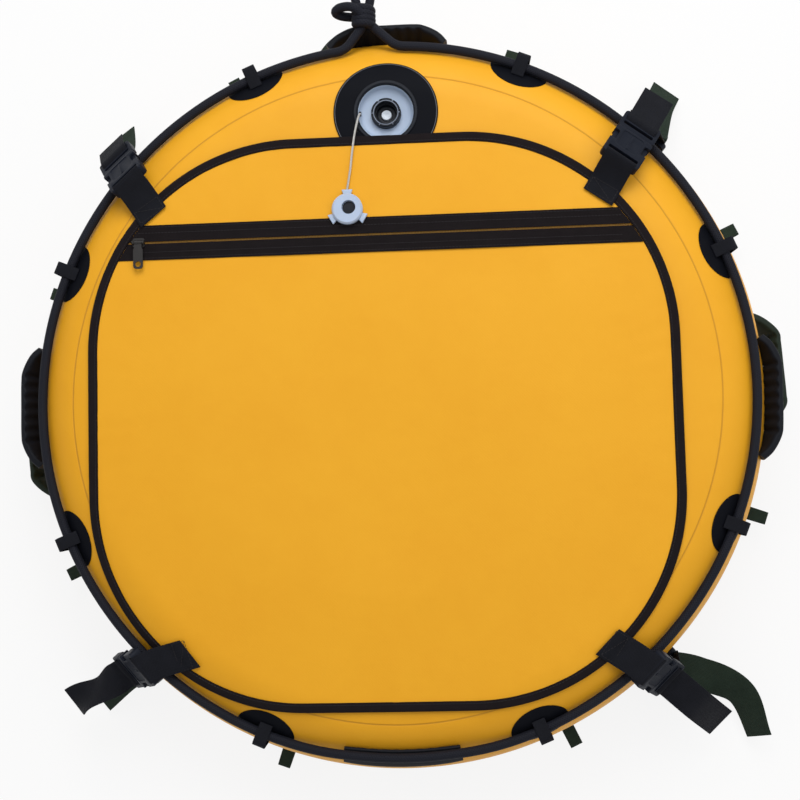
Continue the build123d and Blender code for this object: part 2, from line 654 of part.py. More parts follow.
# Side-release buckle, drawn flat: x runs from the webbing slot out to the ladder
CAVITY_HALF = BUCKLE_WIDTH / 2 - NOTCH_DEPTH + BUCKLE_CLEAR
PRONG_LOW = SHELL_WALL + BUCKLE_CLEAR
PRONG_THICK = BUCKLE_THICK - 2 * PRONG_LOW
with BuildPart() as socket:
    with BuildSketch():
        with Locations((SOCKET_LENGTH / 2, 0)):
            RectangleRounded(SOCKET_LENGTH, BUCKLE_WIDTH, SLOT_LENGTH)
        with Locations((2 * SLOT_LENGTH, 0)):
            RectangleRounded(SLOT_LENGTH, STRAP_WIDTH, SLOT_LENGTH / 3, mode=Mode.SUBTRACT)
        for side in (1, -1):
            with Locations(((NOTCH[0] + NOTCH[1]) / 2, side * BUCKLE_WIDTH / 2)):
                Rectangle(NOTCH[1] - NOTCH[0], 2 * NOTCH_DEPTH, mode=Mode.SUBTRACT)
    extrude(amount=BUCKLE_THICK)
    with Locations((SOCKET_LENGTH, 0, BUCKLE_THICK / 2)):
        Box(
            SOCKET_LENGTH - SOCKET_BAR,
            2 * CAVITY_HALF,
            BUCKLE_THICK - 2 * SHELL_WALL,
            align=(Align.MAX, Align.CENTER, Align.CENTER),
            mode=Mode.SUBTRACT,
        )

LADDER_LENGTH = BUCKLE_LENGTH - SOCKET_LENGTH - BUCKLE_CLEAR
with BuildPart() as plug:
    with BuildSketch(Plane.XY.offset((BUCKLE_THICK - PLUG_THICK) / 2)):
        with Locations((BUCKLE_LENGTH - LADDER_LENGTH / 2, 0)):
            RectangleRounded(LADDER_LENGTH, BUCKLE_WIDTH, SLOT_LENGTH)
            with GridLocations(2 * SLOT_LENGTH, 0, 2, 1):
                RectangleRounded(SLOT_LENGTH, STRAP_WIDTH, SLOT_LENGTH / 3, mode=Mode.SUBTRACT)
    extrude(amount=PLUG_THICK)
    with BuildSketch(Plane.XY.offset(PRONG_LOW)):
        prong_end = SOCKET_LENGTH + SLOT_LENGTH
        prong_start = NOTCH[0] - BUCKLE_CLEAR
        for side in (1, -1):
            prong_y = side * (CAVITY_HALF - BUCKLE_CLEAR - PRONG_WIDTH / 2)
            with Locations(((prong_start + prong_end) / 2, prong_y)):
                Rectangle(prong_end - prong_start, PRONG_WIDTH)
            with Locations(((NOTCH[0] + NOTCH[1]) / 2, side * (CAVITY_HALF - BUCKLE_CLEAR))):
                catch_length = NOTCH[1] - NOTCH[0] - 4 * BUCKLE_CLEAR
                Trapezoid(catch_length, 2 * PRONG_WIDTH, CATCH_TAPER_DEG, rotation=90 * (1 - side))
        with Locations(((NOTCH[1] + prong_end) / 2, 0)):
            Rectangle(prong_end - NOTCH[1], 2 * PRONG_WIDTH)
    extrude(amount=PRONG_THICK)


def buckle_plane(angle, phi, height, inward):
    """Plane on which a buckle lies against the side wall: local x runs from its anchor to its ladder."""
    a, b = radians(angle), radians(phi)
    run = (-sin(b), cos(b)) if inward else (sin(b), -cos(b))
    middle = on_skin(phi, height)
    start = (middle[0] - run[0] * BUCKLE_LENGTH / 2, middle[1] - run[1] * BUCKLE_LENGTH / 2)
    return Plane(
        origin=(start[0] * cos(a), start[0] * sin(a), start[1]),
        x_dir=(run[0] * cos(a), run[0] * sin(a), run[1]),
        z_dir=(cos(b) * cos(a), cos(b) * sin(a), sin(b)),
    )


def beside(phi, height, inward, along, above):
    """Point (radius, z) beside a buckle: a distance along it and a height above its underside."""
    b = radians(phi)
    run = (-sin(b), cos(b)) if inward else (sin(b), -cos(b))
    middle = on_skin(phi, height)
    return (
        middle[0] + run[0] * (along - BUCKLE_LENGTH / 2) + cos(b) * above,
        middle[1] + run[1] * (along - BUCKLE_LENGTH / 2) + sin(b) * above,
    )


# Corners: angle, buckle angle, anchor's start beyond the flat face, then the points of the tails: the front
# ones as (beyond the ring, above its middle), the rear ones as (beyond the ring, above the floor)
CORNERS = (
    ("upper_right", 45.0, 62.0, -26.0, ((34.0, 44.0),), ((46.0, 38.0), (74.0, 5.0))),
    ("upper_left", 138.5, 48.0, -5.0, ((30.0, 29.0),), ((32.0, 42.0), (41.0, 8.0))),
    ("lower_left", 225.0, 30.0, 13.0, ((58.0, 11.0), (96.0, -15.0)), ((30.0, 44.0), (40.0, 14.0))),
    (
        "lower_right",
        312.0,
        30.0,
        13.0,
        ((62.0, 9.0), (112.0, -49.0)),
        ((48.0, 36.0), (86.0, 3.0), (140.0, 1.2)),
    ),
)
TAIL_BEND = 1.5
CHORD_SAG = 0.6
STRAP_BEND = 4.0
ANCHOR_CLEAR = 0.7
REAR_FLAT_SHARE = 0.625
REAR_REACH = (REAR_WIDTH / 2 - REAR_CORNER) * 2**0.5 + REAR_CORNER + REAR_BINDING_WIDTH
FACE_WEB = BINDING_TOP + CHORD_SAG + WEB_THICK / 2
REAR_WEB = SKIN + WEB_THICK / 2
TAIL_START = BUCKLE_LENGTH - LADDER_LENGTH / 2
TAIL_HEIGHT = (BUCKLE_THICK + PLUG_THICK) / 2 + SEAT + WEB_THICK / 2
STRAP_HEIGHT = BUCKLE_THICK / 2


def on_face(radius, height):
    """Point (radius, z) that lies a height off the front face or its shoulder."""
    past_flat = max(0.0, radius - FLAT_R)
    return radius, MID + ((SIDE_R + height) ** 2 - past_flat**2) ** 0.5


def over_rope(phi):
    """Height off the side wall of a buckle that lies on the rope, at an angle above the wall's middle."""
    rope_reach = (SIDE_R + ROPE_OFFSET) * cos(radians(phi - ROPE_PHI_DEG))
    return rope_reach + ROPE_DIAMETER / 2 + SEAT - SIDE_R


front_anchors, rear_anchors = [], []
for corner, angle, phi, inset, front_tail, rear_tail in CORNERS:
    plane = meridian(angle)
    front = (phi, over_rope(phi), False)
    rear = (REAR_BUCKLE_PHI_DEG, SKIN, True)
    for row, place in (("front", front), ("rear", rear)):
        for piece_name, piece in (("socket", socket.part), ("plug", plug.part)):
            with BuildPart() as placed_piece:
                with Locations(buckle_plane(angle, *place).location):
                    add(piece)
            save(placed_piece.part, f"{row}_{piece_name}_{corner}")

    slot = beside(*front, -ANCHOR_CLEAR, STRAP_HEIGHT)
    inner_r = FLAT_R + inset
    face_points = (on_face(inner_r, FACE_WEB), on_face(inner_r + ANCHOR_LENGTH / 3, FACE_WEB))
    front_anchors.append(webbing(plane, (*face_points, slot), STRAP_BEND, STRAP_WIDTH))
    rear_slot = beside(*rear, -ANCHOR_CLEAR, STRAP_HEIGHT)
    rear_start = REAR_REACH + SEAT
    rear_turn = rear_start + REAR_FLAT_SHARE * (rear_slot[0] - rear_start)
    rear_points = ((rear_start, BOTTOM - REAR_WEB), (rear_turn, BOTTOM - REAR_WEB), rear_slot)
    rear_anchors.append(webbing(plane, rear_points, STRAP_BEND, STRAP_WIDTH))
    wrap = (
        beside(*front, BUCKLE_LENGTH + SEAT, STRAP_HEIGHT),
        beside(*front, BUCKLE_LENGTH + SLOT_LENGTH, STRAP_HEIGHT),
        beside(*rear, BUCKLE_LENGTH + SLOT_LENGTH, STRAP_HEIGHT),
        beside(*rear, BUCKLE_LENGTH + SEAT, STRAP_HEIGHT),
    )
    with BuildPart() as strap:
        add(webbing(plane, wrap, TAIL_BEND, STRAP_WIDTH))
        for place, tail, level in ((front, front_tail, MID), (rear, rear_tail, 0.0)):
            root = beside(*place, TAIL_START, TAIL_HEIGHT)
            lift = beside(*place, BUCKLE_LENGTH, TAIL_HEIGHT)
            points = [(RING_RADIUS + beyond, level + above) for beyond, above in tail]
            add(webbing(plane, (root, lift, *points), TAIL_BEND, STRAP_WIDTH))
    save(strap.part, f"strap_{corner}")

for node_name, pieces in (("front_anchors", front_anchors), ("rear_anchors", rear_anchors)):
    with BuildPart() as anchors:
        add(pieces)
    save(anchors.part, node_name)
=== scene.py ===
"""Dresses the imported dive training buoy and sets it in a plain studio.

Metres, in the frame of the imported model: +Z points out of the gear cover and +Y to the inflation valve.
"""

import logging
import math
from collections.abc import Callable, Iterator, Sequence
from contextlib import contextmanager
from dataclasses import dataclass
from enum import Enum

import bmesh
import bpy
from mathutils import Matrix, Vector, noise


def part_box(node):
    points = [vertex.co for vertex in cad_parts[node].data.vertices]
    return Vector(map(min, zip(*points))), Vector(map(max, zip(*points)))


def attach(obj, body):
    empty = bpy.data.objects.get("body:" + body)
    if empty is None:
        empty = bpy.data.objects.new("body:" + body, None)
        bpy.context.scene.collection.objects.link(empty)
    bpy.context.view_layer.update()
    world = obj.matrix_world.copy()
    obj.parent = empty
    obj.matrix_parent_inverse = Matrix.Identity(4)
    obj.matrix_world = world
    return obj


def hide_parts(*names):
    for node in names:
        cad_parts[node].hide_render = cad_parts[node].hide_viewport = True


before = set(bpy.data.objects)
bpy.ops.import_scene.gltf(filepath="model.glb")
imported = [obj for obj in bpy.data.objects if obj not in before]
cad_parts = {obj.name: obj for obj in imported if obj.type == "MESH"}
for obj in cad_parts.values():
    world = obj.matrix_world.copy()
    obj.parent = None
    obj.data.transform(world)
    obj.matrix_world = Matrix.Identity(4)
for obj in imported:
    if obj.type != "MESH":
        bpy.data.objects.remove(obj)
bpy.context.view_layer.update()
LOG = logging.getLogger("buoy")
BODY = "buoy"
UP = Vector((0.0, 0.0, 1.0))
TURNED_FACES = 96
SMALL_TURNED_FACES = 48
HOLE_FACES = 64
STITCH_PITCH = 0.0036
STITCH_LENGTH = 0.0026

Piece = bpy.types.Object
Point = tuple[float, float]
Triple = tuple[float, float, float]
Value = "Wire | float | tuple[float, ...]"


class Wire:
    """Shader socket that takes part in expressions."""

    def __init__(self, shader: "Shader", socket: bpy.types.NodeSocket) -> None:
        """Holds a socket of a shader."""
        self.shader = shader
        self.socket = socket

    def math(self, operation: str, *values: Value) -> "Wire":
        """Adds a Math node.

        Args:
            operation: The Math node's operation.
            values: Its inputs in order.

        Returns:
            The node's result.
        """
        return self.shader.node("ShaderNodeMath", {"operation": operation}, dict(enumerate(values)))

    def __add__(self, other: Value) -> "Wire":
        """Sum."""
        return self.math("ADD", self, other)

    def __radd__(self, other: Value) -> "Wire":
        """Sum with a number first."""
        return self.math("ADD", other, self)

    def __sub__(self, other: Value) -> "Wire":
        """Difference."""
        return self.math("SUBTRACT", self, other)

    def __rsub__(self, other: Value) -> "Wire":
        """Difference with a number first."""
        return self.math("SUBTRACT", other, self)

    def __mul__(self, other: Value) -> "Wire":
        """Product."""
        return self.math("MULTIPLY", self, other)

    def __truediv__(self, other: Value) -> "Wire":
        """Quotient."""
        return self.math("DIVIDE", self, other)

    def __pow__(self, other: Value) -> "Wire":
        """Power."""
        return self.math("POWER", self, other)

    def __abs__(self) -> "Wire":
        """Absolute value."""
        return self.math("ABSOLUTE", self)

    def sine(self) -> "Wire":
        """Sine of an angle in radians."""
        return self.math("SINE", self)

    def band(self, centre: float, half: float) -> "Wire":
        """Soft mask that is 1 at a centre and 0 a half width away."""
        near = 1.0 - abs(self - centre) / half
        return near.math("MAXIMUM", near, 0.0)


class Shader:
    """Node material, or world, built from expressions."""

    def __init__(self, name: str, world: bool = False) -> None:
        """Starts an empty material or world.

        Args:
            name: Its name.
            world: Whether it is a world.
        """
        self.material = (bpy.data.worlds if world else bpy.data.materials).new(name)
        self.material.use_nodes = True
        self.tree = self.material.node_tree
        self.tree.nodes.clear()

    def feed(self, socket: bpy.types.NodeSocket, value: Value) -> None:
        """Links or sets an input.

        Args:
            socket: The input.
            value: A wire, a number or a tuple of numbers.
        """
        if isinstance(value, Wire):
            self.tree.links.new(value.socket, socket)
        elif isinstance(value, tuple) and len(value) == 3 and socket.type == "RGBA":
            socket.default_value = (*value, 1.0)
        else:
            socket.default_value = value

    def node(self, kind: str, settings: dict, sockets: dict, out: int | str = 0) -> Wire:
        """Adds a node.

        Args:
            kind: The node's type.
            settings: Its settings, which are set first; "stops" are a ramp's positions and colours.
            sockets: Values or wires by input name or number.
            out: Name or number of the output to give back.

        Returns:
            The chosen output.
        """
        made = self.tree.nodes.new(kind)
        for key, value in settings.items():
            if key == "stops":
                ramp = made.color_ramp.elements
                while len(ramp) < len(value):
                    ramp.new(1.0)
                for stop, (place, colour) in zip(ramp, value):
                    stop.position, stop.color = place, (*colour, 1.0)
            else:
                setattr(made, key, value)
        for key, value in sockets.items():
            self.feed(made.inputs[key], value)
        return Wire(self, made.outputs[out] if made.outputs else made.inputs[0])

    def place(self, uv: bool = False) -> Wire:
        """Object coordinates, or the piece's own UV map in metres."""
        return self.node("ShaderNodeTexCoord", {}, {}, "UV" if uv else "Object")

    def seen(self) -> Wire:
        """Tells what the camera sees straight on, in a reflection or through glass.

        Returns:
            1 for such a ray, else 0.
        """
        path = self.node("ShaderNodeLightPath", {}, {}, "Is Camera Ray")
        sockets = path.socket.node.outputs
        return path + Wire(self, sockets["Is Glossy Ray"]) + Wire(self, sockets["Is Transmission Ray"])

    def split(self, vector: Wire) -> tuple[Wire, Wire, Wire]:
        """Splits a vector.

        Args:
            vector: The vector.

        Returns:
            Its three parts.
        """
        parts = self.node("ShaderNodeSeparateXYZ", {}, {0: vector})
        sockets = parts.socket.node.outputs
        return parts, Wire(self, sockets[1]), Wire(self, sockets[2])

    def noise(self, place: Wire, scale: float, detail: float = 3.0, rough: float = 0.5) -> Wire:
        """Noise from 0 to 1 at a scale per metre."""
        sockets = {"Vector": place, "Scale": scale, "Detail": detail, "Roughness": rough}
        return self.node("ShaderNodeTexNoise", {}, sockets)

    def mix(self, factor: Value, first: Value, second: Value) -> Wire:
        """Colour between two others."""
        return self.node("ShaderNodeMix", {"data_type": "RGBA"}, {0: factor, 6: first, 7: second}, 2)

    def bump(self, height: Wire, depth: float) -> Wire:
        """Normal of a height map whose full step is a depth in metres."""
        return self.node("ShaderNodeBump", {}, {"Height": height, "Distance": depth, "Strength": 1.0})

    def surface(self, sockets: dict) -> bpy.types.Material:
        """Closes the material with a Principled shader.

        Args:
            sockets: The shader's inputs.

        Returns:
            The material.
        """
        shaded = self.node("ShaderNodeBsdfPrincipled", {}, sockets)
        self.node("ShaderNodeOutputMaterial", {}, {"Surface": shaded})
        return self.material


class Weave(Enum):
    """Ways that a band is woven, as (ribs per metre along it, ribs per metre across it)."""

    WEBBING = (620.0, 340.0)
    TAPE = (900.0, 700.0)


@dataclass(frozen=True)
class CoatedCloth:
    """Coated tarpaulin: fine scrim under a soft skin, with tone that drifts."""

    name: str
    colour: Triple
    shade: Triple
    roughness: float = 0.5
    seam_radius: float = 0.0
    scrim: float = 900.0

    def material(self) -> bpy.types.Material:
        """Builds the material.

        Returns:
            The material.
        """
        shader = Shader(self.name)
        place = shader.place()
        east, north, _ = shader.split(place)
        drift = shader.noise(place, 7.0, 4.0, 0.55)
        cloud = shader.noise(place, 46.0, 3.0)
        grain = shader.noise(place, 1900.0, 2.0)
        weave = (east * self.scrim * 2.0).sine() * (north * self.scrim * 2.0).sine()
        factor = drift * 0.75 + cloud * 0.25
        colour = shader.mix(factor, self.colour, self.shade)
        speckle = (grain - 0.5) * 0.09 + weave * 0.006
        colour = shader.mix(0.5 + speckle * 2.0, shader.mix(0.06, colour, (0.0, 0.0, 0.0)), colour)
        height = weave * 0.1 + grain * 0.5 + cloud * 1.5
        if self.seam_radius:
            radius = (east * east + north * north) ** 0.5
            line = radius.band(self.seam_radius, 0.0013)
            colour = shader.mix(line * 0.55, colour, (0.36, 0.15, 0.02))
            height = height - line * 2.0
        rough = self.roughness + (grain - 0.5) * 0.16 + (drift - 0.5) * 0.12
        return shader.surface(
            {
                "Base Color": colour,
                "Roughness": rough,
                "Specular IOR Level": 0.18,
                "Normal": shader.bump(height, 0.00022),
            }
        )


@dataclass(frozen=True)
class Woven:
    """Woven band, read on the piece's UV map in metres, with painted highlight on its rib crowns and painted
    shade between the ribs.
    """

    name: str
    colour: Triple
    weave: Weave

    def material(self) -> bpy.types.Material:
        """Builds the material.

        Returns:
            The material.
        """
        shader = Shader(self.name)
        place = shader.place(True)
        along, across, _ = shader.split(place)
        ribs, ends = self.weave.value
        zigzag = abs((across * ends).math("FRACT", across * ends) - 0.5)
        twill = ((along * ribs + zigzag * 2.0) * math.tau).sine() * 0.5 + 0.5
        warp = (across * ends * math.tau * 2.0).sine() * 0.5 + 0.5
        lint = shader.noise(place, 2600.0, 2.0)
        wear = shader.noise(place, 60.0, 3.0)
        # The lighter colour is a painted highlight and the darker one a painted shade, lit and shaded copies of
        # the band's colour; the twill and warp ribs put the highlight on their crowns and the shade between
        # them, and lint and wear shift the tone at random.
        light = tuple(min(1.0, part * 2.1 + 0.003) for part in self.colour)
        painted_shade = tuple(part * 0.45 for part in self.colour)
        factor = twill * 0.45 + warp * 0.2 + (lint - 0.5) * 0.5 + (wear - 0.5) * 0.35
        colour = shader.mix(factor, painted_shade, light)
        height = twill * 0.7 + warp * 0.3 + lint * 0.2
        return shader.surface(
            {
                "Base Color": colour,
                "Roughness": 0.68 + (lint - 0.5) * 0.25,
                "Specular IOR Level": 0.09,
                "Normal": shader.bump(height, 0.00028),
            }
        )


@dataclass(frozen=True)
class Moulded:
    """Moulded plastic or rubber: spark-eroded grain, handling marks and a little dust."""

    name: str
    colour: Triple
    roughness: float
    grain: float = 1500.0
    depth: float = 0.00006
    scuff: Triple = (0.05, 0.053, 0.058)
    specular: float = 0.22
    subsurface: float = 0.0

    def material(self) -> bpy.types.Material:
        """Builds the material.

        Returns:
            The material.
        """
        shader = Shader(self.name)
        place = shader.place()
        grain = shader.noise(place, self.grain, 2.0)
        rub = shader.noise(place, 90.0, 5.0, 0.65)
        cloud = shader.noise(place, 24.0, 2.0)
        marks = (rub - 0.56) * 4.0
        marks = marks.math("MAXIMUM", marks.math("MINIMUM", marks, 1.0), 0.0)
        base = shader.mix((cloud - 0.5) * 0.6 + 0.3, self.colour, tuple(part * 1.35 for part in self.colour))
        colour = shader.mix(marks * 0.22 + (grain - 0.5) * 0.05, base, self.scuff)
        sockets = {
            "Base Color": colour,
            "Roughness": self.roughness + (grain - 0.5) * 0.12 + marks * 0.08,
            "Specular IOR Level": self.specular,
            "Normal": shader.bump(grain, self.depth),
        }
        if self.subsurface:
            sockets["Subsurface Weight"] = self.subsurface
            sockets["Subsurface Radius"] = (0.004, 0.005, 0.007)
        return shader.surface(sockets)


@dataclass(frozen=True)
class Braid:
    """Braided sheath, read on UV: u along the rope in metres, v once round it; painted highlight on the plaits'
    crowns, painted shade in the grooves.
    """

    name: str
    colour: Triple
    plaits: float = 8.0
    pitch: float = 0.011

    def material(self) -> bpy.types.Material:
        """Builds the material.

        Returns:
            The material.
        """
        shader = Shader(self.name)
        along, around, _ = shader.split(shader.place(True))
        lint = shader.noise(shader.place(), 1800.0, 2.0)
        run = along * (math.tau * self.plaits / (2.0 * self.pitch * 2.0))
        turn = around * (math.tau * self.plaits / 2.0)
        left = abs((run + turn).sine())
        right = abs((run - turn).sine())
        crowns = left.math("MAXIMUM", left, right)
        # The lighter colour is a painted highlight on the plaits' crowns and the darker one a painted shade in
        # the grooves between them, lit and shaded copies of the rope's colour; lint shifts the tone at random.
        light = tuple(min(1.0, part * 2.4 + 0.004) for part in self.colour)
        painted_shade = tuple(part * 0.4 for part in self.colour)
        colour = shader.mix(crowns * 0.7 + (lint - 0.5) * 0.5, painted_shade, light)
        return shader.surface(
            {
                "Base Color": colour,
                "Roughness": 0.62 + (lint - 0.5) * 0.2,
                "Specular IOR Level": 0.12,
                "Normal": shader.bump(crowns + lint * 0.2, 0.0005),
            }
        )


@dataclass(frozen=True)
class Ground:
    """Pale studio floor that reads as white to the camera and keeps the shadow."""

    name: str
    colour: Triple = (0.86, 0.86, 0.86)
    lift: float = 0.86

    def material(self) -> bpy.types.Material:
        """Builds the material.

        Returns:
            The material.
        """
        shader = Shader(self.name)
        lit = shader.node("ShaderNodeBsdfDiffuse", {}, {"Color": self.colour})
        white = shader.node("ShaderNodeEmission", {}, {"Color": (1.0, 1.0, 1.0), "Strength": 1.0})
        both = shader.node("ShaderNodeMixShader", {}, {0: shader.seen() * self.lift, 1: lit, 2: white})
        shader.node("ShaderNodeOutputMaterial", {}, {"Surface": both})
        return shader.material


YELLOW = (0.90, 0.445, 0.022)
YELLOW_SHADE = (0.82, 0.365, 0.014)
FINISHES = {
    "ring": CoatedCloth("ring_tarpaulin", YELLOW, YELLOW_SHADE, 0.46, seam_radius=0.3453),
    "cover": CoatedCloth("cover_cloth", YELLOW, YELLOW_SHADE, 0.55),
    "rear": CoatedCloth("rear_cloth", YELLOW, YELLOW_SHADE, 0.6),
    "binding": Woven("binding_tape", (0.0085, 0.0055, 0.0065), Weave.TAPE),
    "zip_tape": Woven("zip_tape_weave", (0.0075, 0.0052, 0.0060), Weave.TAPE),
    "teeth": Moulded("zip_teeth", (0.26, 0.135, 0.025), 0.42),
    "zip_metal": Moulded(
        "zip_enamel", (0.010, 0.0085, 0.008), 0.30, depth=0.00003, scuff=(0.07, 0.06, 0.05), specular=0.35
    ),
    "webbing": Woven("strap_webbing", (0.0062, 0.0068, 0.0102), Weave.WEBBING),
    "rear_webbing": Woven("rear_strap_webbing", (0.017, 0.028, 0.019), Weave.WEBBING),
    "buckle": Moulded(
        "buckle_moulding", (0.0065, 0.0085, 0.015), 0.46, scuff=(0.03, 0.034, 0.042), specular=0.10
    ),
    "handle": Moulded(
        "handle_rubber", (0.006, 0.007, 0.010), 0.56, depth=0.00012, scuff=(0.02, 0.022, 0.026), specular=0.11
    ),
    "rear_handle": Moulded(
        "rear_handle_rubber", (0.014, 0.021, 0.015), 0.56,
        depth=0.00012, scuff=(0.03, 0.036, 0.03), specular=0.11,
    ),
    "patch": Moulded(
        "patch_rubber", (0.0040, 0.0045, 0.0068), 0.5,
        depth=0.00010, scuff=(0.014, 0.015, 0.018), specular=0.035,
    ),
    "rope": Braid("rope_braid", (0.0045, 0.005, 0.0085)),
    "cup": Moulded(
        "valve_cup_moulding", (0.009, 0.011, 0.016), 0.36, scuff=(0.03, 0.034, 0.04), specular=0.10
    ),
    "bead": Moulded("patch_bead_rubber", (0.10, 0.105, 0.115), 0.45),
    "sleeve": Moulded("valve_sleeve_moulding", (0.20, 0.23, 0.29), 0.36, scuff=(0.3, 0.33, 0.38)),
    "dish": Moulded(
        "valve_dish_moulding", (0.37, 0.45, 0.58), 0.36, scuff=(0.52, 0.58, 0.67), subsurface=0.1
    ),
    "neck": Moulded(
        "valve_neck_moulding", (0.009, 0.011, 0.016), 0.36, scuff=(0.03, 0.034, 0.04), specular=0.12
    ),
    "plunger": Moulded("valve_plunger_moulding", (0.62, 0.68, 0.76), 0.32, scuff=(0.8, 0.82, 0.85)),
    "cap": Moulded("cap_silicone", (0.40, 0.48, 0.62), 0.42, scuff=(0.6, 0.66, 0.74), subsurface=0.25),
    "cord": Braid("cord_braid", (0.95, 0.87, 0.68), 6.0, 0.0025),
    "thread": Moulded("sewing_thread", (0.014, 0.012, 0.014), 0.6),
    "floor": Ground("studio_floor"),
}
MATERIALS = {key: finish.material() for key, finish in FINISHES.items()}


class Cut(Enum):
    """What a tool does to the piece that it meets."""

    AWAY = "DIFFERENCE"
    ADD = "UNION"


class Bench:
    """Hand tools, each a short run of operators."""

    @staticmethod
    def clear() -> None:
        """Goes back to object mode with nothing selected."""
        if bpy.context.mode != "OBJECT":
            bpy.ops.object.mode_set(mode="OBJECT")
        bpy.ops.object.select_all(action="DESELECT")

    @staticmethod
    def hold(piece: Piece) -> None:
        """Selects one piece alone and makes it active.

        Args:
            piece: The piece.
        """
        Bench.clear()
        piece.select_set(True)
        bpy.context.view_layer.objects.active = piece

    @staticmethod
    def named(name: str) -> Piece:
        """Names the piece that was just added.

        Args:
            name: The new name.

        Returns:
            The piece.
        """
        piece = bpy.context.object
        piece.name = piece.data.name = name
        return piece

    @staticmethod
    @contextmanager
    def editing(piece: Piece) -> Iterator[None]:
        """Holds a piece in edit mode with all of it selected.

        Args:
            piece: The piece.

        Yields:
            Nothing.
        """
        Bench.hold(piece)
        bpy.ops.object.mode_set(mode="EDIT")
        bpy.ops.mesh.select_all(action="SELECT")
        yield
        bpy.ops.object.mode_set(mode="OBJECT")

    @staticmethod
    def apply(piece: Piece, kind: str, **settings: object) -> None:
        """Adds a modifier to a piece and applies it.

        Args:
            piece: The piece.
            kind: The modifier's type.
            settings: Its settings.
        """
        Bench.hold(piece)
        modifier = piece.modifiers.new(kind.lower(), kind)
        for key, value in settings.items():
            setattr(modifier, key, value)
        bpy.ops.object.modifier_apply(modifier=modifier.name)

    @staticmethod
    def smooth(piece: Piece, angle: float = 40.0) -> None:
        """Shades a piece smooth, apart from edges sharper than an angle in degrees."""
        Bench.hold(piece)
        bpy.ops.object.shade_smooth_by_angle(angle=math.radians(angle))

    @staticmethod
    def tidy(piece: Piece, fill: bool = False) -> None:
        """Merges doubles, closes holes if asked and turns the faces outwards.

        Args:
            piece: The piece.
            fill: Whether to close open ends.
        """
        with Bench.editing(piece):
            bpy.ops.mesh.remove_doubles(threshold=0.00002)
            if fill:
                bpy.ops.mesh.fill_holes(sides=0)
                bpy.ops.mesh.select_all(action="SELECT")
            bpy.ops.mesh.normals_make_consistent(inside=False)

    @staticmethod
    def grid(
        name: str,
        columns: int,
        rows: int,
        place: Callable[[float, float], Vector],
        uv: Callable[[float, float], Point] | None = None,
    ) -> Piece:
        """Adds a grid and lays its points where they belong.

        Args:
            name: The piece's name.
            columns: Faces along x.
            rows: Faces along y.
            place: Gives a point for grid coordinates from -1 to 1.
            uv: Gives the UV in metres for the same coordinates.

        Returns:
            The piece.
        """
        Bench.clear()
        bpy.ops.mesh.primitive_grid_add(x_subdivisions=columns, y_subdivisions=rows, size=2)
        piece = Bench.named(name)
        flat = [vertex.co.xy.to_tuple() for vertex in piece.data.vertices]
        if uv:
            layer = piece.data.uv_layers.active.data
            for loop in piece.data.loops:
                layer[loop.index].uv = uv(*flat[loop.vertex_index])
        for vertex, spot in zip(piece.data.vertices, flat):
            vertex.co = place(*spot)
        return piece

    @staticmethod
    def spun(
        name: str, profile: Sequence[Point], steps: int, centre: Point = (0.0, 0.0), closed: bool = False
    ) -> Piece:
        """Spins a profile of (radius, z) points round an upright axis.

        Args:
            name: The piece's name.
            profile: The points.
            steps: Steps in the turn.
            centre: Where the axis stands.
            closed: Whether the last point joins the first.

        Returns:
            The piece.
        """
        Bench.clear()
        bpy.ops.mesh.primitive_circle_add(vertices=len(profile), fill_type="NOTHING")
        piece = Bench.named(name)
        for vertex, (radius, height) in zip(piece.data.vertices, profile):
            vertex.co = (centre[0] + radius, centre[1], height)
        with Bench.editing(piece):
            if not closed:
                mesh = bmesh.from_edit_mesh(piece.data)
                mesh.verts.ensure_lookup_table()
                bpy.ops.mesh.select_all(action="DESELECT")
                for edge in mesh.verts[0].link_edges:
                    edge.select = edge.other_vert(mesh.verts[0]).index == len(profile) - 1
                bmesh.update_edit_mesh(piece.data)
                bpy.ops.mesh.delete(type="EDGE")
            bpy.ops.mesh.select_all(action="SELECT")
            bpy.ops.mesh.spin(steps=steps, angle=math.tau, center=(*centre, 0.0), axis=UP)
        Bench.tidy(piece)
        return piece

    @staticmethod
    def block(name: str, low: Sequence[float], high: Sequence[float]) -> Piece:
        """Adds a cube and moves its corners to two limits.

        Args:
            name: The piece's name.
            low: Lowest corner.
            high: Highest corner.

        Returns:
            The piece.
        """
        Bench.clear()
        bpy.ops.mesh.primitive_cube_add(size=2)
        piece = Bench.named(name)
        for vertex in piece.data.vertices:
            vertex.co = [lo if part < 0 else hi for part, lo, hi in zip(vertex.co, low, high)]
        return piece

    @staticmethod
    def bevel_upright(piece: Piece, radius: float, segments: int = 5) -> None:
        """Rounds a block's upright edges.

        Args:
            piece: The block.
            radius: The rounding's radius.
            segments: Faces in each rounding.
        """
        with Bench.editing(piece):
            bpy.ops.mesh.select_mode(type="EDGE")
            bpy.ops.mesh.select_all(action="DESELECT")
            mesh = bmesh.from_edit_mesh(piece.data)
            for edge in mesh.edges:
                run = edge.verts[0].co - edge.verts[1].co
                edge.select = abs(run.z) > 0.9 * run.length
            bmesh.update_edit_mesh(piece.data)
            bpy.ops.mesh.bevel(offset=radius, segments=segments)
            bpy.ops.mesh.select_mode(type="VERT")

    @staticmethod
    def cut(piece: Piece, tool: Piece, kind: Cut = Cut.AWAY) -> None:
        """Cuts a piece with a tool, or joins the tool to it, and removes the tool."""
        Bench.apply(piece, "BOOLEAN", object=tool, operation=kind.value, solver="EXACT")
        bpy.data.objects.remove(tool)

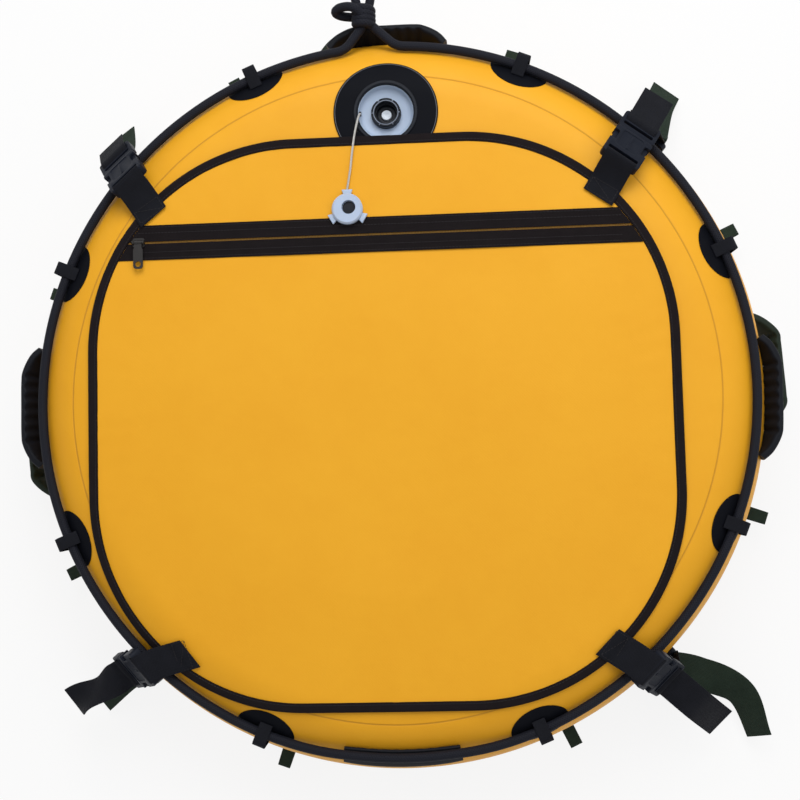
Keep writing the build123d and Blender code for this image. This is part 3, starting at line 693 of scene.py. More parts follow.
    @staticmethod
    def join(name: str, parts: Sequence[Piece]) -> Piece:
        """Joins parts into one piece.

        Args:
            name: The piece's name.
            parts: The parts.

        Returns:
            The piece.
        """
        Bench.hold(parts[0])
        for part in parts[1:]:
            part.select_set(True)
        bpy.ops.object.join()
        return Bench.named(name)

    @staticmethod
    def copy(source: Piece, name: str, move: Matrix) -> Piece:
        """Copies a piece with a mesh of its own.

        Args:
            source: The piece.
            name: The copy's name.
            move: Matrix that moves the copy's mesh.

        Returns:
            The copy.
        """
        piece = bpy.data.objects.new(name, source.data.copy())
        piece.data.name = name
        piece.data.transform(move)
        bpy.context.scene.collection.objects.link(piece)
        return piece

    @staticmethod
    def repeat(name: str, source: Piece, places: Sequence[Matrix]) -> Piece:
        """Copies a small shape to many places in one mesh and removes the shape.

        Args:
            name: The piece's name.
            source: The shape.
            places: A matrix for each copy.

        Returns:
            The piece.
        """
        mesh = bmesh.new()
        for place in places:
            start = len(mesh.verts)
            mesh.from_mesh(source.data)
            mesh.verts.ensure_lookup_table()
            bmesh.ops.transform(mesh, matrix=place, verts=mesh.verts[start:])
        data = bpy.data.meshes.new(name)
        mesh.to_mesh(data)
        mesh.free()
        piece = bpy.data.objects.new(name, data)
        bpy.context.scene.collection.objects.link(piece)
        bpy.data.objects.remove(source)
        return piece

    @staticmethod
    def dress(piece: Piece, finish: str, slot: str, *nodes: str) -> None:
        """Gives a piece its finish, its body and the nodes that it stands for.

        Args:
            piece: The piece.
            finish: Key of its finish.
            slot: The record's material slot; not used.
            nodes: CAD nodes that it replaces.
        """
        piece.data.materials.clear()
        piece.data.materials.append(MATERIALS[finish])
        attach(piece, BODY)
        if nodes:
            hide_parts(*nodes)
        LOG.info("%s: %d points", piece.name, len(getattr(piece.data, "vertices", [])))

    @staticmethod
    def close(piece: Piece, angle: float, finish: str, slot: str, *nodes: str) -> None:
        """Smooths a piece and dresses it.

        Args:
            piece: The piece.
            angle: Edges sharper than this, in degrees, stay sharp.
            finish: Key of its finish.
            slot: The record's material slot.
            nodes: CAD nodes that it replaces.
        """
        Bench.smooth(piece, angle)
        Bench.dress(piece, finish, slot, *nodes)

    @staticmethod
    def paint(finish: str, *nodes: str) -> None:
        """Gives CAD nodes that keep their shape a finish.

        Args:
            finish: Key of the finish.
            nodes: The nodes.
        """
        for node in nodes:
            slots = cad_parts[node].data.materials
            slots.clear()
            slots.append(MATERIALS[finish])
            LOG.info("%s keeps its CAD shape", node)


def smooth_line(points: Sequence[Vector], count: int) -> list[Vector]:
    """Runs an even smooth line through points.

    Args:
        points: The points.
        count: How many points the line gets.

    Returns:
        The line.
    """
    ends = [2 * points[0] - points[1], *points, 2 * points[-1] - points[-2]]
    dense = []
    for a, b, c, d in zip(ends, ends[1:], ends[2:], ends[3:]):
        for step in range(24):
            t = step / 24
            bend = (2 * a - 5 * b + 4 * c - d) * t**2 + (3 * b - a - 3 * c + d) * t**3
            dense.append(0.5 * (2 * b + (c - a) * t + bend))
    dense.append(points[-1].copy())
    return even_line(dense, count)


def even_line(dense: Sequence[Vector], count: int) -> list[Vector]:
    """Spaces points evenly along a line.

    Args:
        dense: The line.
        count: How many points it gets.

    Returns:
        The spaced points.
    """
    marks = [0.0]
    for a, b in zip(dense, dense[1:]):
        marks.append(marks[-1] + (b - a).length)
    line, at = [], 0
    for step in range(count):
        goal = marks[-1] * step / (count - 1)
        while at < len(dense) - 2 and marks[at + 1] < goal:
            at += 1
        span = max(marks[at + 1] - marks[at], 1e-9)
        line.append(dense[at].lerp(dense[at + 1], (goal - marks[at]) / span))
    return line


def run_length(line: Sequence[Vector]) -> float:
    """Length of a line."""
    return sum((b - a).length for a, b in zip(line, line[1:]))


def direction(line: Sequence[Vector], share: float, step: float) -> Vector:
    """Direction of a line at a share of it, from a step before to a step after."""
    return (on_line(line, min(1.0, share + step)) - on_line(line, max(0.0, share - step))).normalized()


def on_line(line: Sequence[Vector], share: float) -> Vector:
    """Finds a point on a line.

    Args:
        line: The line.
        share: Share of its points, from 0 to 1.

    Returns:
        The point.
    """
    spot = share * (len(line) - 1)
    first = min(int(spot), len(line) - 2)
    return line[first].lerp(line[first + 1], spot - first)


def band(
    name: str,
    line: Sequence[Vector],
    side: Callable[[float], Vector],
    width: float,
    thick: float,
    rows: int = 6,
    pucker: float = 0.0,
    fit: Callable[[float, Vector, Vector], Vector] | None = None,
) -> Piece:
    """Models a length of webbing with soft edges.

    Args:
        name: The piece's name.
        line: Middle line of the band.
        side: Gives the direction across the band at a share of its length.
        width: Its width.
        thick: Its thickness.
        rows: Faces across it.
        pucker: How far its face wanders.
        fit: Settles a point, given the share of the length, the middle line's point and the point.

    Returns:
        The piece.
    """
    length = run_length(line)

    def place(x: float, y: float) -> Vector:
        """Point of the band."""
        share = (x + 1) / 2
        across = side(share).normalized()
        lift = across.cross(direction(line, share, 0.01))
        wander = noise.noise(Vector((share * length * 30.0, y * 0.6, length * 7.0))) * pucker
        middle = on_line(line, share)
        spot = middle + across * (y * width / 2) + lift * wander
        return fit(share, middle, spot) if fit else spot

    def uv(x: float, y: float) -> Point:
        """UV of the band in metres."""
        return (x + 1) / 2 * length, y * width / 2

    piece = Bench.grid(name, len(line) - 1, rows, place, uv)
    Bench.apply(piece, "SOLIDIFY", thickness=thick, offset=0.0)
    Bench.apply(
        piece, "BEVEL", width=thick * 0.3, segments=2, limit_method="ANGLE", angle_limit=math.radians(50)
    )
    Bench.smooth(piece, 60.0)
    return piece


def tube(
    name: str,
    line: Sequence[Vector],
    section: Callable[[float, float], Point],
    around: int,
    up: Vector,
) -> Piece:
    """Models a closed bar along a line.

    Args:
        name: The piece's name.
        line: Middle line of the bar.
        section: Gives the (side, up) offset for a share of the length and a turn from 0 to 1.
        around: Faces round the section.
        up: Direction that the section's up side leans to.

    Returns:
        The piece.
    """
    length = run_length(line)
    last = len(line) - 1
    frames = []
    normal = up
    for index in range(last + 1):
        ahead = (line[min(last, index + 1)] - line[max(0, index - 1)]).normalized()
        normal = (normal - ahead * normal.dot(ahead)).normalized()
        frames.append((ahead.cross(normal), normal))

    def place(x: float, y: float) -> Vector:
        """Point of the bar."""
        share = (x + 1) / 2
        side, rise = frames[round(share * last)]
        a, b = section(share, (y + 1) / 2)
        return line[round(share * last)] + side * a + rise * b

    def uv(x: float, y: float) -> Point:
        """UV: metres along, turns round."""
        return (x + 1) / 2 * length, (y + 1) / 2

    piece = Bench.grid(name, last, around, place, uv)
    Bench.tidy(piece, fill=True)
    return piece


def round_section(radius: float) -> Callable[[float, float], Point]:
    """Section of a round bar."""
    return lambda share, turn: (radius * math.cos(math.tau * turn), radius * math.sin(math.tau * turn))


def thread_stitch(name: str, length: float, radius: float) -> Piece:
    """Models one stitch that lies along x.

    Args:
        name: The piece's name.
        length: The stitch's length.
        radius: The thread's radius.

    Returns:
        The piece.
    """
    Bench.clear()
    bpy.ops.mesh.primitive_cylinder_add(vertices=6, radius=radius, depth=length, end_fill_type="TRIFAN")
    piece = Bench.named(name)
    with Bench.editing(piece):
        bpy.ops.transform.rotate(value=math.pi / 2, orient_axis="Y", center_override=(0.0, 0.0, 0.0))
    return piece


def stitch_row(points: Sequence[Vector], normals: Sequence[Vector], pitch: float) -> list[Matrix]:
    """Places stitches along a line.

    Args:
        points: The line.
        normals: Outward direction at each point.
        pitch: Distance from one stitch to the next.

    Returns:
        A matrix for each stitch.
    """
    count = max(2, int(run_length(points) / pitch))
    places = []
    for step in range(count):
        share = (step + 0.5) / count
        spot = on_line(points, share)
        ahead = direction(points, share, 0.004)
        rise = on_line(normals, share)
        rise = (rise - ahead * rise.dot(ahead)).normalized()
        across = rise.cross(ahead)
        turn = Matrix((ahead, across, rise)).transposed().to_4x4()
        places.append(Matrix.Translation(spot) @ turn)
    return places


def outline(theta: float, half_x: float, half_y: float, corner: float) -> Point:
    """Finds a point on a rectangle with round corners.

    Args:
        theta: Direction from the middle, in radians.
        half_x: Half its width.
        half_y: Half its height.
        corner: Radius of its corners.

    Returns:
        The point.
    """
    dx, dy = math.cos(theta), math.sin(theta)
    reach = min(half_x / max(abs(dx), 1e-9), half_y / max(abs(dy), 1e-9))
    cx, cy = half_x - corner, half_y - corner
    if abs(dx) * reach > cx and abs(dy) * reach > cy:
        along = abs(dx) * cx + abs(dy) * cy
        reach = along + math.sqrt(max(0.0, along**2 - cx**2 - cy**2 + corner**2))
    return dx * reach, dy * reach


def on_section(section: Sequence[Point], share: float) -> Point:
    """Finds a point on a closed section.

    Args:
        section: The section's corners.
        share: Share of the corners passed, from 0 to 1.

    Returns:
        The point.
    """
    spot = share * len(section)
    first = int(spot) % len(section)
    a, b = section[first], section[(first + 1) % len(section)]
    t = spot - int(spot)
    return a[0] + (b[0] - a[0]) * t, a[1] + (b[1] - a[1]) * t


def turned(low: float, high: float, radius: float) -> list[Point]:
    """Profile of a plain cylinder that is used as a cutter."""
    return [(0.0, low), (radius, low), (radius, high), (0.0, high)]


def raised(height: float, *points: Point) -> list[Point]:
    """Lifts the points of a profile by a height."""
    return [(radius, height + z) for radius, z in points]


@dataclass(frozen=True)
class RingForm:
    """Main sizes of the air ring, shared by what lies on it."""

    radius: float = 0.400
    side: float = 0.075
    middle: float = 0.079
    hole: float = 0.205
    bulge: float = 0.018
    band_rise: float = 0.0005
    band_phi: float = 74.5
    seat: float = 0.0008
    pit: Point = (0.0334, 0.120)
    pit_centre: Point = (0.0, 0.305)
    face_steps: int = 12
    wall_steps: int = 40
    turn_faces: int = 360
    gather: float = 0.0009
    swell: float = 0.0005

    @property
    def flat(self) -> float:
        """Radius where the flat faces end."""
        return self.radius - self.side

    @property
    def top(self) -> float:
        """Height of the front face."""
        return self.middle + self.side

    def wall(self, phi: float, height: float) -> Point:
        """Point (radius, z) a height off the side wall at an angle above its middle."""
        reach = self.side + height
        return (
            self.flat + reach * math.cos(math.radians(phi)),
            self.middle + reach * math.sin(math.radians(phi)),
        )

    def drape(self, x: float, y: float, height: float) -> Vector:
        """Point a height over the front face or its shoulder, straight above (x, y)."""
        past = max(0.0, math.hypot(x, y) - self.flat)
        return Vector((x, y, self.middle + math.sqrt(max(0.0, (self.side + height) ** 2 - past**2))))

    def face_normal(self, x: float, y: float) -> Vector:
        """Finds the outward direction of the front face or its shoulder.

        Args:
            x: Place in x.
            y: Place in y.

        Returns:
            The direction.
        """
        past = max(0.0, math.hypot(x, y) - self.flat)
        out = Vector((x, y, 0.0)).normalized() * past
        return (out + Vector((0.0, 0.0, math.sqrt(max(1e-6, self.side**2 - past**2))))).normalized()

    def around(self, angle: float, point: Point) -> Vector:
        """Puts a (radius, z) point at an angle round the ring."""
        a = math.radians(angle)
        return Vector((point[0] * math.cos(a), point[0] * math.sin(a), point[1]))

    def build(self) -> None:
        """Models the inflated skin: flat faces, round wall with its seam band, bulging hole."""
        steps, face = self.face_steps, self.flat - self.hole
        profile = [(self.hole + face * step / steps, self.middle - self.side) for step in range(steps)]
        for step in range(self.wall_steps + 1):
            phi = -90 + 180 * step / self.wall_steps
            rise = self.band_rise if abs(phi) < self.band_phi else 0.0
            profile.append(self.wall(phi, rise))
        profile += [(self.flat - face * step / steps, self.top) for step in range(1, steps + 1)]
        sweep = math.atan2(self.bulge, self.side) * 2
        arc_radius = self.side / math.sin(sweep)
        for step in range(1, steps):
            turn = sweep - 2 * sweep * step / steps
            inward = arc_radius * (math.cos(turn) - math.cos(sweep))
            profile.append((self.hole - inward, self.middle + arc_radius * math.sin(turn)))
        piece = Bench.spun("ring_skin", profile, self.turn_faces, closed=True)
        for vertex in piece.data.vertices:
            radius = math.hypot(vertex.co.x, vertex.co.y)
            angle = math.atan2(vertex.co.y, vertex.co.x)
            phi = math.degrees(math.atan2(vertex.co.z - self.middle, max(1e-6, radius - self.flat)))
            seam = math.exp(-(((abs(phi) - self.band_phi) / 9.0) ** 2)) if radius > self.flat else 0.0
            spot = Vector((math.cos(angle) * 9.0, math.sin(angle) * 9.0, vertex.co.z * 10.0))
            gather = abs(noise.noise(spot * 3.0)) * self.gather * seam
            swell = (0.5 + 0.5 * noise.noise(vertex.co * 9.0)) * self.swell
            vertex.co -= vertex.normal * (gather + swell)
        radius, floor = self.pit
        Bench.cut(piece, Bench.spun("valve_pit", turned(floor, 0.2, radius), HOLE_FACES, self.pit_centre))
        Bench.close(piece, 30.0, "ring", "yellow_tarpaulin", "air_ring")


RING = RingForm()


@dataclass(frozen=True)
class GearCover:
    """Gear cover: two cloth panels, folded binding, zip and their stitching."""

    width: float = 0.630
    height: float = 0.610
    corner: float = 0.225
    shift: Point = (-0.012, -0.026)
    panel_low: float = 0.0017
    panel_thick: float = 0.0013
    binding_width: float = 0.0105
    binding_top: float = 0.0046
    zip_y: float = 0.1715
    zip_height: float = 0.038
    zip_gap: float = 0.008
    slit: float = 0.0025
    tape_middle: float = 0.00353
    tape_thick: float = 0.00085
    tooth_pitch: float = 0.0016
    valve_y: float = 0.305
    flange: float = 0.0347
    sag_radius: float = 0.215
    sag: float = 0.0022
    fold: float = 0.0016
    ripple: float = 0.0003
    hem: float = 0.0005
    cloth_faces: int = 150
    binding_faces: int = 420
    tape_faces: tuple[int, int] = (220, 20)
    stitch_insets: Point = (0.0022, 0.0085)

    def edge(self, theta: float, inset: float) -> Point:
        """Point of the outline, drawn in by an inset, in a direction from the cover's middle."""
        x, y = outline(theta, self.width / 2 - inset, self.height / 2 - inset, self.corner - inset)
        return self.shift[0] + x, self.shift[1] + y

    def cloth_point(self, x: float, y: float) -> Vector:
        """Lays a point of a square grid on the cover with the cloth's soft folds.

        Args:
            x: Grid coordinate from -1 to 1.
            y: The other one.

        Returns:
            The point.
        """
        spread = max(abs(x), abs(y))
        theta = math.atan2(y, x)
        rim = self.edge(theta, 0.0012)
        px = self.shift[0] + (rim[0] - self.shift[0]) * spread
        py = self.shift[1] + (rim[1] - self.shift[1]) * spread
        radius = math.hypot(px, py)
        inside = max(0.0, 1.0 - (radius / self.sag_radius) ** 2)
        sag = self.sag * inside
        fold = noise.noise(Vector((px * 5.0 + py * 2.0, py * 4.0, 3.0))) * self.fold * min(1.0, inside * 2.0)
        ripple = noise.noise(Vector((px * 26.0, py * 15.0, 8.0))) * self.ripple
        hem = abs(noise.noise(Vector((theta * 14.0, 2.0, 5.0)))) * self.hem * max(0.0, spread - 0.75) * 4.0
        height = self.panel_low + self.panel_thick / 2 - sag + fold + ripple + hem
        return RING.drape(px, py, height)

    def build_cloth(self) -> None:
        """Models the two panels from one sheet."""
        half = self.zip_gap / 2
        cuts = (("cover_cloth_upper", "cover_upper", 1.0), ("cover_cloth_lower", "cover_lower", -1.0))
        for name, node, side in cuts:
            piece = Bench.grid(name, self.cloth_faces, self.cloth_faces, self.cloth_point)
            with Bench.editing(piece):
                cut = (0.0, self.zip_y + side * half, 0.0)
                bpy.ops.mesh.bisect(plane_co=cut, plane_no=(0.0, side, 0.0), clear_inner=True)
            area = sum(face.area for face in piece.data.polygons)
            Bench.apply(piece, "SOLIDIFY", thickness=self.panel_thick, offset=0.0)
            if side > 0:
                hole = turned(0.13, 0.2, self.flange)
                Bench.cut(piece, Bench.spun("flange_hole", hole, HOLE_FACES, (0.0, self.valve_y)))
                area -= 0.5 * math.pi * self.flange**2 * 0.6
            Bench.close(piece, 50.0, "cover", "yellow_cover", node)
            low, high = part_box(node)
            flat = (high.x - low.x, high.y - low.y + 0.01)
            area = min(area, flat[0] * flat[1])

    def build_binding(self) -> None:
        """Models the folded binding and its row of stitches."""
        half, top = self.binding_width / 2, self.binding_top
        inner = 0.0002 - half
        section = [(inner, 0.0031), (inner + 0.0006, 0.0043), (-0.001, top), (0.002, top)]
        section += [(half - 0.0009, 0.0042), (half, 0.0030), (half - 0.0002, 0.0012)]
        section += [(half - 0.0008, 0.0010), (half - 0.0011, 0.0031)]

        def place(x: float, y: float) -> Vector:
            """Point of the binding."""
            across, height = on_section(section, (y + 1) / 2)
            rim = self.edge(math.pi * x, half - across)
            wave = noise.noise(Vector((rim[0] * 40.0, rim[1] * 40.0, 1.0))) * 0.00035
            return RING.drape(rim[0], rim[1], height + wave * (height > 0.002))

        def uv(x: float, y: float) -> Point:
            """UV of the binding in metres."""
            return x * 1.05, y * self.binding_width

        piece = Bench.grid("cover_piping", self.binding_faces, len(section), place, uv)
        Bench.tidy(piece)
        hole = turned(0.13, 0.1575, self.flange)
        Bench.cut(piece, Bench.spun("piping_hole", hole, HOLE_FACES, (0.0, self.valve_y)))
        Bench.close(piece, 50.0, "binding", "black_binding", "cover_binding")
        spots = [self.edge(math.tau * step / 700, self.binding_width - 0.0026) for step in range(701)]
        line = [RING.drape(x, y, self.binding_top - 0.00015) for x, y in spots]
        rises = [RING.face_normal(x, y) for x, y in spots]
        stitch = thread_stitch("binding_stitch", STITCH_LENGTH, 0.00032)
        piece = Bench.repeat("cover_stitches", stitch, stitch_row(line, rises, STITCH_PITCH))
        Bench.dress(piece, "thread", "black_binding")

    def across_x(self, y: float, inset: float) -> Point:
        """Finds where a level line meets the outline.

        Args:
            y: The line's y.
            inset: How far the outline is drawn in.

        Returns:
            The two ends in x.
        """
        half_x, half_y, corner = self.width / 2 - inset, self.height / 2 - inset, self.corner - inset
        past = max(0.0, abs(y - self.shift[1]) - (half_y - corner))
        half = half_x - corner + math.sqrt(max(0.0, corner**2 - past**2))
        return self.shift[0] - half, self.shift[0] + half

    def build_tape(self, node: str, side: float) -> None:
        """Models one zip tape: woven strip with a corded edge, drawn flat by its stitching.

        Args:
            node: The CAD node that it stands for.
            side: 1 above the slit, -1 below it.
        """
        reach = (self.zip_height - self.slit) / 2

        def strip(x: float, y: float) -> Triple:
            """Place of a tape's point before it is draped, and its height."""
            out = reach * (y + 1) / 2
            row = self.zip_y + side * (self.slit / 2 + out)
            low, high = self.across_x(row, self.binding_width + 0.0001)
            along = low + (high - low) * (x + 1) / 2
            edge_cord = 0.00012 * math.exp(-(((out - 0.0012) / 0.0008) ** 2))
            wander = noise.noise(Vector((along * 45.0, row * 60.0, 4.0))) * 0.0002 * min(1.0, out / 0.012)
            return along, row, self.tape_middle + edge_cord + wander

        def uv(x: float, y: float) -> Point:
            """UV of the tape in metres."""
            return strip(x, y)[:2]

        piece = Bench.grid(f"{node}_weave", *self.tape_faces, lambda x, y: RING.drape(*strip(x, y)), uv)
        Bench.apply(piece, "SOLIDIFY", thickness=self.tape_thick, offset=0.0)
        Bench.tidy(piece)
        Bench.close(piece, 50.0, "zip_tape", "zip_tape", node)

    def build_zip(self) -> None:
        """Models the tapes and the teeth, dresses the slider and sews the tapes down."""
        self.build_tape("zip_tape_upper", 1.0)
        self.build_tape("zip_tape_lower", -1.0)
        Bench.paint("zip_metal", "zip_slider", "zip_pull")
        low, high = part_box("zip_coil")
        Bench.clear()
        bpy.ops.mesh.primitive_cylinder_add(
            vertices=8, radius=0.00062, depth=0.0056, rotation=(math.pi / 2, 0.0, 0.0),
            location=(low.x + 0.002, self.zip_y, RING.top + 0.0024),
        )
        tooth = Bench.named("zip_teeth")
        bpy.ops.object.transform_apply(location=True, rotation=True, scale=True)
        Bench.apply(tooth, "BEVEL", width=0.0002, segments=1, limit_method="ANGLE")
        count = int((high.x - low.x - 0.004) / self.tooth_pitch)
        Bench.apply(
            tooth, "ARRAY", count=count, use_relative_offset=False, use_constant_offset=True,
            constant_offset_displace=(self.tooth_pitch, 0.0, 0.0),
        )
        Bench.close(tooth, 50.0, "teeth", "zip_teeth", "zip_coil")
        places = []
        for side, inset in ((side, inset) for side in (1, -1) for inset in self.stitch_insets):
            row_y = self.zip_y + side * (self.zip_height / 2 - inset)
            spots = []
            for step in range(240):
                x = low.x + 0.012 + (high.x - low.x - 0.024) * step / 239
                spots.append(RING.drape(x, row_y, 0.0040))
            places += stitch_row(spots, [UP] * 2, STITCH_PITCH)
        stitch = thread_stitch("tape_stitch", STITCH_LENGTH, 0.0003)
        Bench.dress(Bench.repeat("zip_stitches", stitch, places), "thread", "zip_tape")

    def build(self) -> None:
        """Builds the cover."""
        self.build_cloth()
        self.build_binding()
        self.build_zip()


@dataclass(frozen=True)
class InflationValve:
    """Inflation valve with its cap on a cord."""

    centre: Point = (0.0, 0.305)
    floor: float = 0.1375
    flange_top: float = 0.1571
    flange: float = 0.0345
    cup: float = 0.0305
    body: float = 0.0325
    patch: float = 0.0565
    neck: float = 0.016
    bore: float = 0.0128
    neck_height: float = 0.016
    cap_centre: Point = (-0.043, 0.199)
    cap_low: float = 0.1583
    cap_radius: float = 0.0165
    cap_height: float = 0.007
    socket_shift: float = 0.0015
    bead: float = 0.0549
    lug: tuple[Triple, Triple] = ((-0.0305, 0.303, 0.1491), (-0.0266, 0.307, 0.1531))
    ear_turns: Triple = (90.0, 210.0, 330.0)
    cord_diameter: float = 0.0023
    cord_length: float = 0.0904
    route: tuple[Triple, ...] = (
        (-0.02785, 0.3044, 0.1537),
        (-0.02845, 0.3005, 0.1631),
        (-0.0330, 0.2830, 0.1626),
        (-0.0365, 0.2620, 0.1618),
        (-0.0390, 0.2410, 0.1600),
        (-0.0430, 0.2206, 0.1599),
    )

    def turn(self, degrees: float) -> Matrix:
        """Matrix that turns a part about the valve's axis and moves it there."""
        return Matrix.Translation((*self.centre, 0.0)) @ Matrix.Rotation(math.radians(degrees), 4, "Z")

    def build_cup(self) -> None:
        """Models the cup, the dish in it, the castellated neck and the plunger."""
        top, floor = self.flange_top, self.floor
        lip = raised(
            top, (self.body, -0.0016), (self.flange, -0.0016), (self.flange, -0.0006),
            (self.flange - 0.0006, 0.0), (self.cup + 0.0012, 0.0), (self.cup, -0.0012),
        )
        underside = raised(floor, (0.0, -0.002), (self.body, -0.002))
        profile = [*underside, *lip, *raised(floor, (self.cup, 0.0008), (0.0, 0.0008))]
        piece = Bench.spun("valve_shell", profile, TURNED_FACES, self.centre)
        Bench.cut(piece, Bench.block("lug", *self.lug), Cut.ADD)
        Bench.close(piece, 30.0, "cup", "valve_plastic", "valve_cup")
        dish = raised(
            floor, (0.0163, 0.0060), (0.0290, 0.0060), (0.0303, 0.0150), (0.0299, 0.0158), (0.0294, 0.0156),
            (0.0286, 0.0118), (0.0276, 0.0096), (0.0258, 0.0084), (0.0226, 0.0079), (0.0163, 0.0076),
        )
        piece = Bench.spun("valve_dish", dish, TURNED_FACES, self.centre, closed=True)
        Bench.close(piece, 35.0, "dish", "valve_plastic")
        high = floor + self.neck_height
        bore, neck = self.bore, self.neck
        crown = raised(
            high, (neck, -0.0008), (neck - 0.0008, 0.0), (bore + 0.0014, 0.0), (bore + 0.0010, -0.0004),
            (bore + 0.0010, -0.0013), (bore, -0.0013),
        )
        foot, seat = raised(floor, (0.011, 0.0), (neck, 0.0)), raised(floor, (bore, 0.007), (0.011, 0.007))
        piece = Bench.spun("valve_neck", [*foot, *crown, *seat], TURNED_FACES, self.centre, closed=True)
        for step in range(3):
            slot = Bench.block("notch", (-0.02, -0.0015, high - 0.003), (0.02, 0.0015, high + 0.003))
            slot.data.transform(self.turn(60.0 * step))
            Bench.cut(piece, slot)
        Bench.close(piece, 35.0, "neck", "valve_plastic", "valve_hub")
        sleeve = raised(
            high, (bore, -0.0012), (bore + 0.0009, -0.0012), (bore + 0.0009, -0.0002), (bore + 0.0005, 0.0),
            (bore, -0.0003),
        )
        parts = [Bench.spun("sleeve", sleeve, TURNED_FACES, self.centre, closed=True)]
        for step in range(6):
            near, far = (bore + 0.0007, -0.0004, high - 0.0029), (neck - 0.0005, 0.0004, high - 0.0006)
            fin = Bench.block("fin", near, far)
            Bench.apply(fin, "BEVEL", width=0.0002, segments=1)
            fin.data.transform(self.turn(60.0 * step))
            parts.append(fin)
        piece = Bench.join("valve_sleeve", parts)
        Bench.close(piece, 35.0, "sleeve", "valve_plastic")
        button = raised(
            floor, (0.0, 0.0), (0.0057, 0.0), (0.0057, 0.0040), (0.0051, 0.0048), (0.0030, 0.0050),
            (0.0024, 0.0046), (0.0, 0.0046),
        )
        piece = Bench.spun("valve_plunger", button, SMALL_TURNED_FACES, self.centre)
        Bench.close(piece, 40.0, "plunger", "valve_button", "valve_button")
        ring = raised(floor, (0.0066, 0.0002), (0.0104, 0.0002), (0.0104, 0.0030), (0.0066, 0.0030))
        piece = Bench.spun("valve_seat", ring, SMALL_TURNED_FACES, self.centre, closed=True)
        Bench.apply(piece, "BEVEL", width=0.0004, segments=2, limit_method="ANGLE")
        Bench.close(piece, 40.0, "neck", "valve_plastic")
        self.build_patch()
        rim = []
        for step in range(161):
            a = math.tau * step / 160
            rim.append(RING.drape(self.bead * math.cos(a), self.centre[1] + self.bead * math.sin(a), 0.0012))
        piece = tube("valve_patch_bead", rim, round_section(0.0004), 8, UP)
        Bench.close(piece, 60.0, "bead", "black_patch")

    def build_patch(self) -> None:
        """Models the rubber disc round the valve, draped over the face and feathered at its edge."""
        inner, outer, low, high = self.body + 0.0004, self.patch, 0.00092, 0.00138
        steps = [inner + (outer - 0.0032 - inner) * step / 8 for step in range(9)]
        profile = [(radius, low) for radius in steps]
        profile += [(outer - 0.0004, low), (outer, 0.00102)]
        profile += [(outer - 0.0004, 0.00116), (outer - 0.0022, 0.00122)]
        profile += [(radius, high) for radius in reversed(steps)]
        piece = Bench.spun("valve_disc", profile, 120, self.centre, closed=True)
        for vertex in piece.data.vertices:
            vertex.co = RING.drape(*vertex.co)
        Bench.tidy(piece)
        Bench.close(piece, 40.0, "patch", "black_patch", "valve_patch")

    def build_cap(self) -> Piece:
        """Models the cap: a turned disc with a deep socket and three fishtail ears.

        Returns:
            The cap.
        """
        x, y = self.cap_centre
        low, high = self.cap_low, self.cap_low + self.cap_height
        disc = [
            (0.0, low), (0.0158, low), (self.cap_radius, low + 0.0008), (self.cap_radius, high - 0.0016),
            (self.cap_radius - 0.0016, high), (0.0, high),
        ]
        piece = Bench.spun("cap_disc", disc, 72, self.cap_centre)
        for turn in self.ear_turns:
            ear = Bench.block("ear", (0.012, -0.0028, low), (0.0215, 0.0028, low + 0.0032))
            for vertex in ear.data.vertices:
                if vertex.co.x > 0.02:
                    vertex.co.y *= 2.1
            with Bench.editing(ear):
                bpy.ops.mesh.bevel(offset=0.0007, segments=2)
            spin = Matrix.Rotation(math.radians(turn), 4, "Z")
            ear.data.transform(Matrix.Translation((x, y, 0.0)) @ spin)
            Bench.cut(piece, ear, Cut.ADD)
        socket = raised(
            high, (0.0, -0.005), (0.0071, -0.005), (0.0075, -0.0042), (0.0075, 0.004), (0.0, 0.004)
        )
        middle = (x + self.socket_shift, y + self.socket_shift)
        Bench.cut(piece, Bench.spun("cap_socket", socket, SMALL_TURNED_FACES, middle))
        Bench.smooth(piece, 35.0)
        piece.name = piece.data.name = "stopper_cap"
        Bench.dress(piece, "cap", "cap_rubber", "valve_cap")
        plug = raised(high, (0.0, -0.0049), (0.0068, -0.0049), (0.0068, -0.0042), (0.0, -0.0040))
        piece_floor = Bench.spun("cap_socket_floor", plug, SMALL_TURNED_FACES, middle)
        Bench.close(piece_floor, 35.0, "neck", "cap_rubber")
        return piece

    def build_cord(self, cap: Piece) -> None:
        """Lays the cap's cord as one smooth curve.

        Args:
            cap: The cap, at the cord's far end; not used.
        """
        data = bpy.data.curves.new("stopper_cord", "CURVE")
        data.dimensions = "3D"
        data.bevel_depth = self.cord_diameter / 2
        data.bevel_resolution = 3
        data.resolution_u = 12
        data.use_fill_caps = True
        spline = data.splines.new("NURBS")
        spline.points.add(len(self.route) - 1)
        for point, spot in zip(spline.points, self.route):
            point.co = (*spot, 1.0)
        spline.order_u = 3
        spline.use_endpoint_u = True
        piece = bpy.data.objects.new("stopper_cord", data)
        bpy.context.scene.collection.objects.link(piece)
        Bench.dress(piece, "cord", "white_cord", "cap_tether")
        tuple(self.route[0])

    def build(self) -> None:
        """Builds the valve."""
        self.build_cup()
        self.build_cord(self.build_cap())


